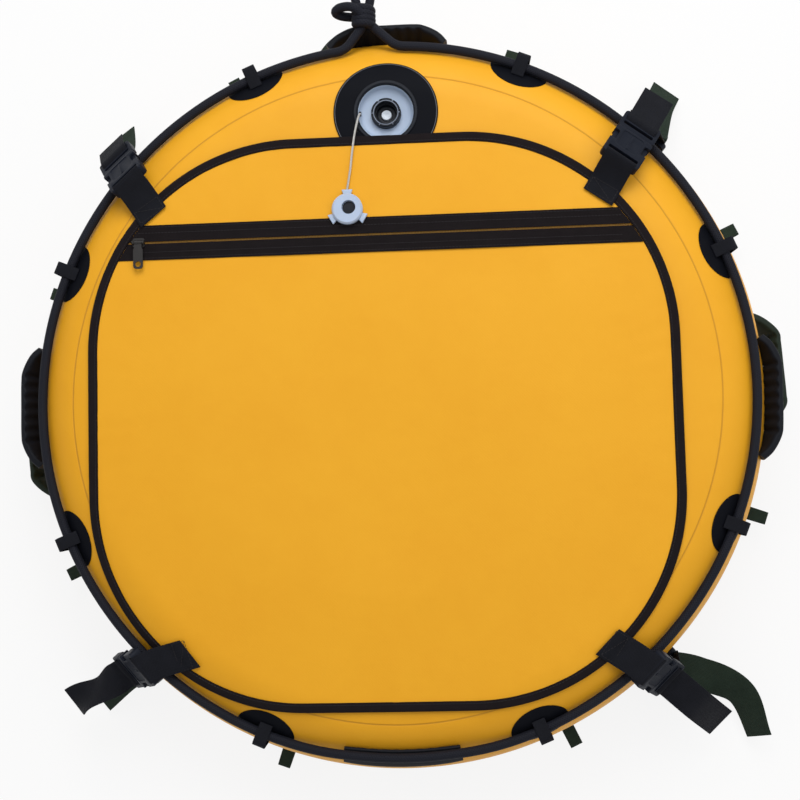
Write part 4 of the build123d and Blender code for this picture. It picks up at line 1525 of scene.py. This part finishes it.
@dataclass(frozen=True)
class RimRope:
    """Rope round the shoulder, knotted at the top."""

    diameter: float = 0.010
    phi: float = 45.0
    offset: float = 0.0071
    gap: Point = (87.0, 98.0)
    knot: Point = (-0.023, 0.417)
    leg_bend: float = 0.025
    leg_turns: Point = (40.0, 45.0)
    slack: float = 6.6
    slack_reach: float = 13.0
    lift: float = 0.0056
    slack_middle: float = 270.0
    rim_steps: int = 1000
    rope_points: int = 1300
    coil: Triple = (0.0088, 0.0192, 0.0082)
    coil_steps: int = 84
    coil_turn_steps: int = 24
    bight: tuple[Triple, ...] = (
        (0.004, -0.004, 0.004),
        (-0.010, 0.007, 0.0125),
        (-0.024, 0.0092, 0.0085),
        (-0.0305, 0.0062, 0.003),
        (-0.024, 0.0036, -0.003),
        (-0.006, 0.003, -0.009),
    )

    def leg(self, angle: float, way: float, turn: float) -> list[Vector]:
        """Line of one end from the rim to the knot.

        Args:
            angle: Where it leaves the rim.
            way: 1 if it runs on round the ring, -1 if it runs back.
            turn: How far it bends outwards, in degrees.

        Returns:
            The line.
        """
        radius, z = RING.wall(self.phi, self.offset)
        a = math.radians(angle)
        spot = Vector((radius * math.cos(a), radius * math.sin(a), z))
        heading = Vector((-math.sin(a), math.cos(a), 0.0)) * way
        line = [spot.copy()]
        for _ in range(10):
            heading = Matrix.Rotation(math.radians(-way * turn / 10), 3, "Z") @ heading
            spot = spot + heading * (self.leg_bend * math.radians(turn / 10))
            line.append(spot.copy())
        run = (self.knot[0] - spot.x) / heading.x
        line.append(spot + heading * run * 0.5)
        line.append(spot + heading * run * 0.9)
        return line

    def build(self) -> None:
        """Models the rope, its legs and the knot's turns and tails."""
        z = RING.wall(self.phi, self.offset)[1]
        right = self.leg(self.gap[0], 1.0, self.leg_turns[0])
        left = self.leg(self.gap[1], -1.0, self.leg_turns[1])
        start, end = self.gap[1], 360.0 + self.gap[0]
        rim = []
        for step in range(self.rim_steps + 1):
            angle = start + (end - start) * step / self.rim_steps
            droop = math.exp(-(((angle - self.slack_middle) / self.slack_reach) ** 4))
            spot = RING.wall(self.phi + self.slack * droop, self.offset + self.lift * droop)
            rim.append(RING.around(angle, spot))
        line = even_line([*reversed(left), *rim[1:-1], *right], self.rope_points)
        sheath = round_section(self.diameter / 2)
        parts = [tube("rim_line", line, sheath, 20, UP)]
        kx, ky = self.knot
        wide, long, tall = self.coil
        coil = []
        for step in range(self.coil_steps + 1):
            a = math.tau * step / self.coil_turn_steps
            along = ky - long / 2 + long * step / self.coil_steps
            coil.append(Vector((kx + wide * math.cos(a), along, z + tall * math.sin(a))))
        tight = round_section(self.diameter / 2 - 0.0002)
        parts.append(tube("knot_turns", coil, tight, 16, Vector((0.0, 1.0, 0.0))))
        loop = smooth_line([Vector((kx + x, ky + y, z + up)) for x, y, up in self.bight], 60)
        parts.append(tube("knot_bight", loop, sheath, 16, UP))
        for lean, lift in ((-0.0085, 0.0015), (0.0075, -0.0020)):
            tail = [
                Vector((kx - lean * 0.3, ky - 0.004, z)),
                Vector((kx + lean * 0.5, ky + 0.008, z + lift * 0.5)),
                Vector((kx + lean * 0.9, ky + 0.016, z + lift)),
                Vector((kx + lean * 1.2, ky + 0.0310, z + lift)),
            ]
            parts.append(tube("knot_tail", smooth_line(tail, 24), sheath, 16, UP))
        piece = Bench.join("rim_rope_braid", parts)
        Bench.close(piece, 50.0, "rope", "black_rope", "rim_rope")


@dataclass(frozen=True)
class RimTabs:
    """One row of rubber patches and the webbing loops sewn to them."""

    row: str
    start: float
    patch_phi: float
    patch_depth: float
    upper: float
    lower: float
    tip: Point
    webbing: str
    webbing_slot: str
    patch_length: float = 0.068
    patch_top: float = 0.0018
    loop_width: float = 0.014
    thick: float = 0.0012
    count: int = 8

    def patch(self, name: str, angle: float) -> Piece:
        """Models one patch, thick in its middle and feathered at its edge.

        Args:
            name: The piece's name.
            angle: Where it lies round the ring.

        Returns:
            The piece.
        """
        low = RING.seat + 0.00012

        def place(x: float, y: float) -> Vector:
            """Point of the patch."""
            spread = max(abs(x), abs(y))
            theta = math.atan2(y, x)
            u = math.cos(theta) * spread * self.patch_length / 2
            v = math.sin(theta) * spread * self.patch_depth / 2000.0
            turn = angle + math.degrees(u / RING.radius)
            phi = self.patch_phi + math.degrees(v / RING.side)
            crown = 1.0 - spread**6
            height = low + (self.patch_top - low) * crown
            return RING.around(turn, RING.wall(phi, height))

        piece = Bench.grid(name, 28, 24, place)
        Bench.apply(piece, "SOLIDIFY", thickness=0.0005, offset=-1.0)
        return piece

    def loop(self, name: str, angle: float) -> Piece:
        """Models one loop: two feet on the patch and a soft fold at its tip.

        Args:
            name: The piece's name.
            angle: Where it stands round the ring.

        Returns:
            The piece.
        """
        foot = self.patch_top + self.thick / 2
        upper, lower = RING.wall(self.upper, foot), RING.wall(self.lower, foot)
        reach = Vector((*self.tip, 0.0))
        high, low = Vector((*upper, 0.0)), Vector((*lower, 0.0))
        rise = (high - low).normalized() * 0.0024
        spots = [high, high.lerp(reach, 0.35) + rise * 0.5, high.lerp(reach, 0.86) + rise * 0.9]
        spots += [reach - (reach - high.lerp(low, 0.5)).normalized() * 0.0008]
        spots += [low.lerp(reach, 0.86) - rise * 0.9, low.lerp(reach, 0.35) - rise * 0.3, low]
        line = [RING.around(angle, (spot.x, spot.y)) for spot in smooth_line(spots, 44)]
        side = RING.around(angle + 90.0, (1.0, 0.0))
        return band(name, line, lambda share: side, self.loop_width, self.thick, 4)

    def build(self) -> None:
        """Builds the row."""
        angles = [self.start + 360.0 / self.count * step for step in range(self.count)]
        patches = Bench.join(f"{self.row}_rubber_patches", [self.patch("patch", angle) for angle in angles])
        Bench.close(patches, 40.0, "patch", "black_patch", f"{self.row}_patches")
        loops = Bench.join(f"{self.row}_webbing_loops", [self.loop("loop", angle) for angle in angles])
        Bench.dress(loops, self.webbing, self.webbing_slot, f"{self.row}_loops")


class HandleState(Enum):
    """How a handle sits: standing off the wall, or pressed flat against it."""

    FREE = "free"
    PRESSED = "pressed"


@dataclass(frozen=True)
class CarryHandles:
    """One row of moulded carry handles with finger ridges inside."""

    row: str
    turns: tuple[float, float, float, float]
    height: float
    reach: float
    pressed_phi: float
    finish: str
    length: float = 0.130
    width: float = 0.028
    thick: float = 0.010
    rise: float = 0.020
    ridges: int = 7
    pitch: float = 0.012
    lean: float = 28.0
    pressed_thick: float = 0.0056
    pressed_height: float = 0.0038
    squareness: float = 0.55
    line_points: int = 150

    def line(self, state: HandleState) -> list[Vector]:
        """Draws the middle line of a handle at angle zero.

        Args:
            state: How the handle sits.

        Returns:
            The line.
        """
        half, middle = self.length / 2, self.reach - self.thick / 2
        if state is HandleState.PRESSED:
            spots = []
            for step in range(-6, 7):
                angle = math.degrees(half / RING.radius) * step / 6
                spots.append(RING.around(angle, RING.wall(self.pressed_phi, self.pressed_height)))
            return smooth_line(spots, self.line_points)
        foot = RING.wall(math.degrees(math.asin((self.height - RING.middle) / RING.side)), RING.seat)[0]
        foot = math.sqrt(max(0.0, foot**2 - half**2))
        spots = [
            Vector((foot + 0.0012, -half + 0.001, self.height)),
            Vector((foot + (middle - foot) * 0.55, -half + self.rise * 0.55, self.height)),
            Vector((middle - 0.0010, -half + self.rise + 0.006, self.height)),
            Vector((middle, -half * 0.45, self.height)),
            Vector((middle, 0.0, self.height)),
        ]
        spots += [Vector((spot.x, -spot.y, spot.z)) for spot in reversed(spots[:-1])]
        return smooth_line(spots, self.line_points)

    def arch(self, name: str, state: HandleState) -> Piece:
        """Models one handle at angle zero.

        Args:
            name: The piece's name.
            state: How it sits.

        Returns:
            The piece.
        """
        line = self.line(state)
        length = run_length(line)
        pressed = state is HandleState.PRESSED
        thick = self.pressed_thick if pressed else self.thick
        lean = -self.pressed_phi if pressed else self.lean

        def section(share: float, turn: float) -> Point:
            """Rounded bar whose inner face carries the ridges."""
            a = math.tau * turn
            side = math.copysign(abs(math.cos(a)) ** self.squareness, math.cos(a))
            rise = math.copysign(abs(math.sin(a)) ** self.squareness, math.sin(a))
            along = (share - 0.5) * length
            ends = abs(2 * share - 1.0) ** 4
            depth = thick / 2
            if side < 0 and abs(along) < self.pitch * self.ridges / 2:
                scallop = 0.5 + 0.5 * math.cos(math.tau * along / self.pitch)
                depth -= 0.22 * thick * scallop * min(1.0, -side * 1.3)
            out, up = side * depth, rise * self.width / 2 * (1.0 - 0.12 * ends)
            tilt = math.radians(lean) * (1.0 if pressed else 1.0 - ends)
            return out * math.cos(tilt) + up * math.sin(tilt), up * math.cos(tilt) - out * math.sin(tilt)

        piece = tube(name, line, section, 32, UP)
        Bench.smooth(piece, 50.0)
        return piece

    def build(self) -> None:
        """Builds the row."""
        free = self.arch("handle_form", HandleState.FREE)
        pressed = self.arch("pressed_form", HandleState.PRESSED)
        for quarter, (place, turn) in enumerate(zip(("right", "top", "left", "bottom"), self.turns)):
            move = Matrix.Rotation(math.radians(90.0 * quarter + turn), 4, "Z")
            source = pressed if place == "bottom" else free
            piece = Bench.copy(source, f"{self.row}_grip_{place}", move)
            Bench.dress(piece, self.finish, "handle_rubber", f"{self.row}_handle_{place}")
        for source in (free, pressed):
            bpy.data.objects.remove(source)


@dataclass(frozen=True)
class Buckle:
    """Side-release buckle, lying flat: x runs from the webbing slot to the ladder."""

    width: float = 0.044
    length: float = 0.065
    thick: float = 0.0115
    socket: float = 0.040
    strap: float = 0.036
    plug_thick: float = 0.008
    wall: float = 0.0025
    slot: float = 0.004
    notch: Point = (0.020, 0.033)
    notch_depth: float = 0.0065
    edge_radius: float = 0.004
    slot_radius: float = 0.0013
    window_radius: float = 0.002
    play: float = 0.0005
    prong: float = 0.005
    ridges: int = 3
    ridge_pitch: float = 0.0013

    def round_block(self, name: str, low: Sequence[float], high: Sequence[float], radius: float) -> Piece:
        """Adds a block with rounded upright edges.

        Args:
            name: The piece's name.
            low: Lowest corner.
            high: Highest corner.
            radius: The rounding's radius.

        Returns:
            The block.
        """
        piece = Bench.block(name, low, high)
        Bench.bevel_upright(piece, radius)
        return piece

    def shape(self, piece: Piece, steps: Sequence[tuple[Cut, Triple, Triple, float]]) -> None:
        """Cuts blocks out of a moulding, or adds them to it, in turn.

        Args:
            piece: The moulding.
            steps: Rows of the kind of cut, the block's two corners and the radius of its upright edges.
        """
        for kind, low, high, radius in steps:
            tool = self.round_block("tool", low, high, radius) if radius else Bench.block("tool", low, high)
            Bench.cut(piece, tool, kind)

    def soften(self, piece: Piece, width: float) -> None:
        """Breaks a moulding's edges by a width and smooths it."""
        Bench.apply(piece, "BEVEL", width=width, segments=2, limit_method="ANGLE", angle_limit=math.radians(40))
        Bench.smooth(piece, 45.0)

    def build_socket(self) -> Piece:
        """Models the socket: shell with side windows, mouth, webbing slot and a sunk panel with a rib.

        Returns:
            The socket.
        """
        half, web, top = self.width / 2, self.strap / 2, self.thick
        inner = half - self.notch_depth
        wide, panel = inner + self.play, inner - 0.003
        first, last = self.notch
        piece = self.round_block("socket_form", (0.0, -half, 0.0), (self.socket, half, top), self.edge_radius)
        self.shape(
            piece,
            [
                (Cut.AWAY, (0.006, -web, -1.0), (0.010, web, 1.0), self.slot_radius),
                (Cut.AWAY, (0.014, -wide, self.wall), (0.1, wide, top - self.wall), 0.0),
                (Cut.AWAY, (first, inner, -1.0), (last, 0.1, 1.0), self.window_radius),
                (Cut.AWAY, (first, -0.1, -1.0), (last, -inner, 1.0), self.window_radius),
                (Cut.AWAY, (0.0145, -panel, top - 0.0007), (0.0372, panel, 1.0), 0.003),
                (Cut.ADD, (0.0165, -0.0016, top - 0.0010), (0.0352, 0.0016, top - 0.0001), 0.0012),
            ],
        )
        self.soften(piece, 0.0006)
        return piece

    def build_plug(self) -> Piece:
        """Models the plug: ladder with two slots, ridged end bar, two catches and a guide.

        Returns:
            The plug.
        """
        half, web = self.width / 2, self.strap / 2
        inner = half - self.notch_depth
        first, last = self.notch
        base = (self.thick - self.plug_thick) / 2
        start, top = self.socket + self.play, base + self.plug_thick
        low, high = self.wall + self.play, self.thick - self.wall - self.play
        piece = self.round_block("plug_form", (start, -half, base), (self.length, half, top), self.edge_radius)
        steps = []
        for shift in (-self.slot, self.slot):
            slot = (start + self.length) / 2 + shift
            ends = slot - self.slot / 2, slot + self.slot / 2
            steps.append((Cut.AWAY, (ends[0], -web, -1.0), (ends[1], web, 1.0), self.slot_radius))
        for step in range(self.ridges):
            near = self.length - 0.0020 - step * self.ridge_pitch
            side = half - 0.006
            steps.append((Cut.AWAY, (near, -side, top - 0.0004), (near + 0.0006, side, 1.0), 0.0))
        for sign in (1, -1):
            near, far = sorted((sign * inner, sign * (inner - self.prong)))
            steps.append((Cut.ADD, (first - self.play, near, low), (start + 0.002, far, high), 0.0))
            near, far = sorted((sign * (inner - 0.001), sign * (half - 0.0012)))
            steps.append((Cut.ADD, (first + 0.001, near, low), (last - 0.001, far, high), self.window_radius))
        steps.append((Cut.ADD, (0.030, -0.005, low), (start + 0.002, 0.005, high), 0.0))
        self.shape(piece, steps)
        self.soften(piece, 0.0005)
        return piece


@dataclass(frozen=True)
class BucklePlace:
    """Where a buckle lies against the side wall, turned on it by a skew in degrees."""

    angle: float
    phi: float
    height: float
    inward: bool
    skew: float
    length: float = 0.065

    def axes(self) -> Matrix:
        """Finds the buckle's directions.

        Returns:
            Those along, across and out of it, as columns.
        """
        a, b = math.radians(self.angle), math.radians(self.phi)
        out = Vector((math.cos(b) * math.cos(a), math.cos(b) * math.sin(a), math.sin(b)))
        along = Vector((math.sin(b) * math.cos(a), math.sin(b) * math.sin(a), -math.cos(b)))
        along = Matrix.Rotation(math.radians(self.skew), 3, out) @ (-along if self.inward else along)
        return Matrix((along, out.cross(along), out)).transposed()

    def side(self) -> Vector:
        """Direction across the webbing, to the left seen from the middle of the ring."""
        return self.axes().col[1] * (-1.0 if self.inward else 1.0)

    def beside(self, along: float, above: float) -> Vector:
        """Point a distance along the buckle and a height above its underside."""
        middle = RING.around(self.angle, RING.wall(self.phi, self.height))
        return middle + self.axes() @ Vector((along - self.length / 2, 0.0, above))

    def matrix(self) -> Matrix:
        """Matrix that lays a flat buckle in its place."""
        return Matrix.Translation(self.beside(0.0, 0.0)) @ self.axes().to_4x4()


@dataclass(frozen=True)
class Twist:
    """How a loose end twists: by an angle, from a share of its length on, through a part of a half wave."""

    angle: float = 0.0
    start: float = 0.25
    wave: float = 0.72

    def at(self, share: float) -> float:
        """Angle in radians at a share of the length."""
        past = max(0.0, share - self.start) / (1.0 - self.start)
        return math.radians(self.angle) * math.sin(math.pi * self.wave * past)


@dataclass(frozen=True)
class Corner:
    """One corner's strap.

    The anchor starts at an inner radius. The tails run through (radius, z) points and sway sideways at them.
    The buckles are turned on the wall by their skews; the angles are in degrees.
    """

    name: str
    angle: float
    phi: float
    inner: float
    skews: Point
    front_tail: tuple[Point, ...]
    rear_tail: tuple[Point, ...]
    front_sway: tuple[float, ...]
    rear_sway: tuple[float, ...]
    front_twist: Twist = Twist()
    rear_twist: Twist = Twist()


CORNERS = (
    Corner(
        "upper_right", 45.0, 62.0, 0.299, (11.0, 0.0), ((0.434, 0.123),), ((0.450, 0.036), (0.478, 0.009)),
        (0.016,), (0.018, 0.028),
    ),
    Corner(
        "upper_left", 138.5, 48.0, 0.320, (-12.0, 0.0), ((0.430, 0.108),), ((0.436, 0.040), (0.463, 0.014)),
        (-0.013,), (-0.016, -0.034),
    ),
    Corner(
        "lower_left", 225.0, 30.0, 0.338, (-16.0, 0.0), ((0.458, 0.090), (0.494, 0.064)),
        ((0.436, 0.040), (0.486, 0.009)), (-0.018, -0.032), (-0.012, -0.019), front_twist=Twist(58.0, 0.2, 1.0),
    ),
    Corner(
        "lower_right", 312.0, 30.0, 0.338, (7.0, -24.0), ((0.462, 0.088), (0.500, 0.040)),
        ((0.446, 0.044), (0.494, 0.029), (0.542, 0.025)), (0.008, 0.013), (0.034, 0.052, 0.034),
        rear_twist=Twist(78.0, 0.38, 0.5),
    ),
)


@dataclass(frozen=True)
class CornerStraps:
    """The four corner straps with a buckle at each end."""

    buckle: Buckle = Buckle()
    width: float = 0.036
    thick: float = 0.0012
    sewn: float = 0.017
    face_height: float = 0.0058
    rear_reach: float = 0.3014
    rear_phi: float = -30.0
    rope_offset: float = 0.0071
    rope_radius: float = 0.005
    rope_phi: float = 45.0
    seat: float = 0.0003
    slot_gap: float = 0.0007
    rear_sewn: float = 0.346
    stitch_pitch: float = 0.0034

    def places(self, corner: Corner) -> tuple[BucklePlace, BucklePlace]:
        """Finds the places of a corner's buckles.

        Args:
            corner: The corner.

        Returns:
            The front buckle's place and the rear one's.
        """
        rope = (RING.side + self.rope_offset) * math.cos(math.radians(corner.phi - self.rope_phi))
        height = rope + self.rope_radius + self.seat - RING.side
        front = BucklePlace(corner.angle, corner.phi, height, False, corner.skews[0])
        return front, BucklePlace(corner.angle, self.rear_phi, RING.seat, True, corner.skews[1])

    def slot_point(self, place: BucklePlace) -> Vector:
        """Point where webbing leaves a socket's slot."""
        return place.beside(-self.slot_gap, self.buckle.thick / 2)

    def sewn_point(
        self, corner: Corner, place: BucklePlace, along: float, across: float, height: float
    ) -> Vector:
        """Point on the cover under an anchor.

        Args:
            corner: The corner.
            place: Its front buckle's place.
            along: Distance from the anchor's inner end.
            across: Distance to the side of its middle.
            height: Height over the ring's face.

        Returns:
            The point.
        """
        slot = self.slot_point(place)
        ahead = place.axes().col[0].xy.normalized()
        length = slot.xy.length - corner.inner
        spot = slot.xy - ahead * (length - along) + Vector((-ahead.y, ahead.x)) * across
        return RING.drape(spot.x, spot.y, height)

    def anchor(self, corner: Corner, place: BucklePlace) -> Piece:
        """Models a front anchor: sewn flat to the cover and threaded through the socket.

        Args:
            corner: The corner.
            place: Its front buckle's place.

        Returns:
            The piece.
        """
        spots = []
        for share in (0.0, 0.5, 1.0):
            spots.append(self.sewn_point(corner, place, self.sewn * share, 0.0, self.face_height))
        spots.append(spots[-1].lerp(self.slot_point(place), 0.6))
        spots += [place.beside(*spot) for spot in ((0.0012, 0.0119), (0.0042, 0.0121), (0.0078, 0.0083))]
        line = smooth_line(spots, 60)
        side = place.side()
        level = Vector((side.x, side.y, 0.0)).normalized()
        flat = self.sewn / run_length(line)

        def across(share: float) -> Vector:
            """Level where it is sewn down, turned with the buckle at its end."""
            return level.lerp(side, min(1.0, max(0.0, (share - flat) / (0.7 - flat))))

        def fit(share: float, middle: Vector, spot: Vector) -> Vector:
            """Settles the sewn part on the face."""
            hold = min(1.0, max(0.0, (0.6 - share) / (0.6 - flat)))
            drop = RING.drape(spot.x, spot.y, 0.0).z - RING.drape(middle.x, middle.y, 0.0).z
            return spot + Vector((0.0, 0.0, drop * hold))

        return band("anchor", line, across, self.width - 0.0004, self.thick, 8, 0.0002, fit)

    def rear_anchor(self, corner: Corner, place: BucklePlace) -> Piece:
        """Models a rear anchor under the ring.

        Args:
            corner: The corner.
            place: Its rear buckle's place.

        Returns:
            The piece.
        """
        low = RING.middle - RING.side - 0.0014
        radii = (self.rear_reach + 0.0003, 0.326, self.rear_sewn)
        spots = [RING.around(corner.angle, (radius, low)) for radius in radii]
        spots.append(self.slot_point(place))
        start, end = RING.around(corner.angle + 90.0, (1.0, 0.0)), place.side()
        line = smooth_line(spots, 40)
        sewn = (self.rear_sewn - self.rear_reach) / run_length(line)

        def across(share: float) -> Vector:
            """Direction across the anchor, level where it is sewn on."""
            return start.lerp(end, max(0.0, (share - sewn) / (1.0 - sewn)))

        return band("anchor", line, across, self.width - 0.0004, self.thick, 6)

    def tail(self, start: Sequence[Vector], points: Sequence[Vector], side: Vector, twist: Twist) -> Piece:
        """Models a loose end that leaves a ladder.

        Args:
            start: Points on the ladder.
            points: Points of the loose end.
            side: Direction across it at the ladder.
            twist: How it twists on its way.

        Returns:
            The piece.
        """
        line = smooth_line([*start, *points], 60)

        def across(share: float) -> Vector:
            """Direction across the tail."""
            ahead = direction(line, share, 0.02)
            level = (side - ahead * side.dot(ahead)).normalized()
            return Matrix.Rotation(twist.at(share), 3, ahead) @ level

        return band("tail", line, across, self.width - 0.0006, self.thick, 6, 0.0006)

    def strap(self, corner: Corner, front: BucklePlace, rear: BucklePlace) -> tuple[Piece, Piece]:
        """Models the strap between two buckles with its tails.

        Args:
            corner: The corner.
            front: Its front buckle's place.
            rear: Its rear buckle's place.

        Returns:
            The strap with its front tail, and the rear tail.
        """
        half, end = self.buckle.thick / 2, self.buckle.length
        ladder = ((end - 0.006, half + 0.0052), (end + 0.0006, half + 0.0022), (end + 0.006, half - 0.001))
        wrap = [front.beside(*spot) for spot in ladder] + [rear.beside(*spot) for spot in reversed(ladder)]
        sides = front.side(), rear.side()
        width, line = self.width - 0.0006, smooth_line(wrap, 50)
        middle = band("wrap", line, lambda share: sides[0].lerp(sides[1], share), width, self.thick)
        lift = (self.buckle.thick + self.buckle.plug_thick) / 2 + self.seat + self.thick / 2
        start = ((end - 0.01225, lift - 0.0015), (end - 0.00825, lift + 0.0014), (end, lift + 0.0008))
        level = RING.around(corner.angle + 90.0, (1.0, 0.0))
        ends = []
        for place, points, sways, twist in (
            (front, corner.front_tail, corner.front_sway, corner.front_twist),
            (rear, corner.rear_tail, corner.rear_sway, corner.rear_twist),
        ):
            spots = [RING.around(corner.angle, point) + level * sway for point, sway in zip(points, sways)]
            ends.append(self.tail([place.beside(*spot) for spot in start], spots, place.side(), twist))
        ends[1].name = ends[1].data.name = f"rear_tail_{corner.name}"
        return Bench.join(f"strap_web_{corner.name}", [middle, ends[0]]), ends[1]

    def stitches(self, corner: Corner, place: BucklePlace) -> list[Matrix]:
        """Places the box of stitches that holds an anchor to the cover.

        Args:
            corner: The corner.
            place: Its front buckle's place.

        Returns:
            A matrix for each stitch.
        """
        half, height = self.width / 2 - 0.003, self.face_height + self.thick / 2
        box = [(0.002, -half), (0.002, half), (0.0165, half), (0.0165, -half), (0.002, -half), (0.0165, half)]
        places = []
        for (a, b), (d, e) in zip(box, box[1:]):
            row = []
            for step in range(7):
                along, across = a + (d - a) * step / 6, b + (e - b) * step / 6
                row.append(self.sewn_point(corner, place, along, across, height))
            rises = [RING.face_normal(row[3].x, row[3].y)] * 2
            places += stitch_row(row, rises, self.stitch_pitch)
        return places

    def build(self) -> None:
        """Builds the straps."""
        socket, plug = self.buckle.build_socket(), self.buckle.build_plug()
        anchors, rear_anchors, sewing = [], [], []
        for corner in CORNERS:
            front, rear = self.places(corner)
            for row, place in (("front", front), ("rear", rear)):
                for kind, source in (("socket", socket), ("plug", plug)):
                    piece = Bench.copy(source, f"{row}_buckle_{kind}_{corner.name}", place.matrix())
                    Bench.dress(piece, "buckle", "buckle_plastic", f"{row}_{kind}_{corner.name}")
            strap, rear_tail = self.strap(corner, front, rear)
            Bench.dress(strap, "webbing", "black_webbing", f"strap_{corner.name}")
            Bench.dress(rear_tail, "rear_webbing", "rear_webbing")
            anchors.append(self.anchor(corner, front))
            rear_anchors.append(self.rear_anchor(corner, rear))
            sewing += self.stitches(corner, front)
        for source in (socket, plug):
            bpy.data.objects.remove(source)
        Bench.dress(Bench.join("anchor_webs", anchors), "webbing", "black_webbing", "front_anchors")
        webs = Bench.join("rear_anchor_webs", rear_anchors)
        Bench.dress(webs, "rear_webbing", "rear_webbing", "rear_anchors")
        stitch = thread_stitch("anchor_stitch", 0.0025, 0.0003)
        Bench.dress(Bench.repeat("anchor_stitches", stitch, sewing), "thread", "black_webbing")


@dataclass(frozen=True)
class RearPanel:
    """Rear panel that the buoy lies on, with its binding."""

    width: float = 0.500
    corner: float = 0.150
    thick: float = 0.002
    binding: float = 0.010
    wave: float = 0.0007

    def edge(self, theta: float, grow: float) -> Point:
        """Point of the outline in a direction, drawn out by a distance."""
        half = self.width / 2 + grow
        return outline(theta, half, half, self.corner + grow)

    def build(self) -> None:
        """Models the panel's cloth and the rolled binding round it."""
        def cloth(x: float, y: float) -> Vector:
            """Point of the panel."""
            spread = max(abs(x), abs(y))
            rim = self.edge(math.atan2(y, x), -0.0004)
            px, py = rim[0] * spread, rim[1] * spread
            swell = 0.5 + 0.5 * noise.noise(Vector((px * 9.0, py * 9.0, 6.0)))
            return Vector((px, py, self.thick / 2 + swell * self.wave * (1.0 - spread**8)))

        piece = Bench.grid("rear_cloth", 80, 80, cloth)
        Bench.apply(piece, "SOLIDIFY", thickness=self.thick * 0.7, offset=0.0)
        Bench.close(piece, 50.0, "rear", "rear_fabric", "rear_panel")
        section = [(0.0003, 0.0004), (0.0012, 0.0), (0.0088, 0.0), (0.0097, 0.0005), (0.0100, 0.0030)]
        section += [(0.0092, 0.0037), (0.0012, 0.0037), (0.0003, 0.0032)]

        def roll(x: float, y: float) -> Vector:
            """Point of the binding."""
            grow, height = on_section(section, (y + 1) / 2)
            return Vector((*self.edge(math.pi * x, grow), height))

        piece = Bench.grid("rear_piping", 320, len(section), roll, lambda x, y: (x * 0.9, y * self.binding))
        Bench.tidy(piece)
        Bench.close(piece, 50.0, "binding", "black_binding", "rear_binding")


@dataclass(frozen=True)
class Studio:
    """Pale floor, soft light and the camera above the cover."""

    eye: Triple = (0.106, -0.133, 1.654)
    aim: Triple = (0.0, 0.0, 0.154)
    roll: float = 1.4
    lens: float = 64.2
    shift: Point = (0.0093, -0.0074)
    world_level: float = 0.46
    key_power: float = 34.0
    fill_share: float = 0.35
    floor_size: float = 80.0
    sensor: float = 36.0

    def build(self) -> None:
        """Builds the stage."""
        Bench.clear()
        bpy.ops.mesh.primitive_plane_add(size=self.floor_size)
        floor = Bench.named("studio_floor")
        floor.data.materials.append(MATERIALS["floor"])
        air = Shader("studio_air", world=True)
        level = self.world_level + air.seen() * (1.0 - self.world_level)
        backdrop = air.node("ShaderNodeBackground", {}, {"Color": (1.0, 1.0, 1.0), "Strength": level})
        air.node("ShaderNodeOutputWorld", {}, {"Surface": backdrop})
        bpy.context.scene.world = air.material
        self.lamp("key_light", (0.15, 1.45, 1.9), 1.5, self.key_power)
        self.lamp("fill_light", (1.7, 0.2, 2.2), 2.2, self.key_power * self.fill_share)
        data = bpy.data.cameras.new("main_camera")
        data.lens, data.sensor_width, data.sensor_fit = self.lens, self.sensor, "HORIZONTAL"
        data.shift_x, data.shift_y = self.shift
        camera = bpy.data.objects.new("main_camera", data)
        camera.location = self.eye
        look = (Vector(self.aim) - Vector(self.eye)).normalized()
        up = Matrix.Rotation(math.radians(-self.roll), 3, "Z") @ Vector((0.0, 1.0, 0.0))
        right = look.cross(up).normalized()
        turn = Matrix((right, right.cross(look), -look)).transposed()
        camera.rotation_euler = turn.to_euler()
        bpy.context.scene.collection.objects.link(camera)
        bpy.context.scene.camera = camera
        bpy.context.scene.view_settings.view_transform = "Standard"

    def lamp(self, name: str, spot: Triple, size: float, power: float) -> None:
        """Hangs a square lamp that faces the buoy.

        Args:
            name: Its name.
            spot: Where it hangs.
            size: Length of its side.
            power: Its power in watts.
        """
        data = bpy.data.lights.new(name, "AREA")
        data.shape, data.size, data.energy = "SQUARE", size, power
        piece = bpy.data.objects.new(name, data)
        piece.location = spot
        piece.rotation_euler = (Vector(self.aim) - Vector(spot)).to_track_quat("-Z", "Y").to_euler()
        bpy.context.scene.collection.objects.link(piece)


def main() -> None:
    """Builds the buoy and its studio."""
    logging.basicConfig(level=logging.INFO, format="%(name)s: %(message)s")
    Studio().build()
    RING.build()
    InflationValve().build()
    GearCover().build()
    RimRope().build()
    RimTabs("front", 22.5, 45.0, 48.0, 53.0, 29.0, (0.3955, 0.1432), "webbing", "black_webbing").build()
    RimTabs("rear", 25.8, -38.0, 56.0, -30.0, -60.0, (0.430, 0.031), "rear_webbing", "rear_webbing").build()
    CarryHandles("front", (-1.7, 0.0, 0.0, 0.0), 0.110, 0.409, 44.0, "handle").build()
    CarryHandles("rear", (3.3, 3.3, 5.0, 3.3), 0.044, 0.425, -33.0, "rear_handle").build()
    CornerStraps().build()
    RearPanel().build()


if __name__ == "__main__":
    main()
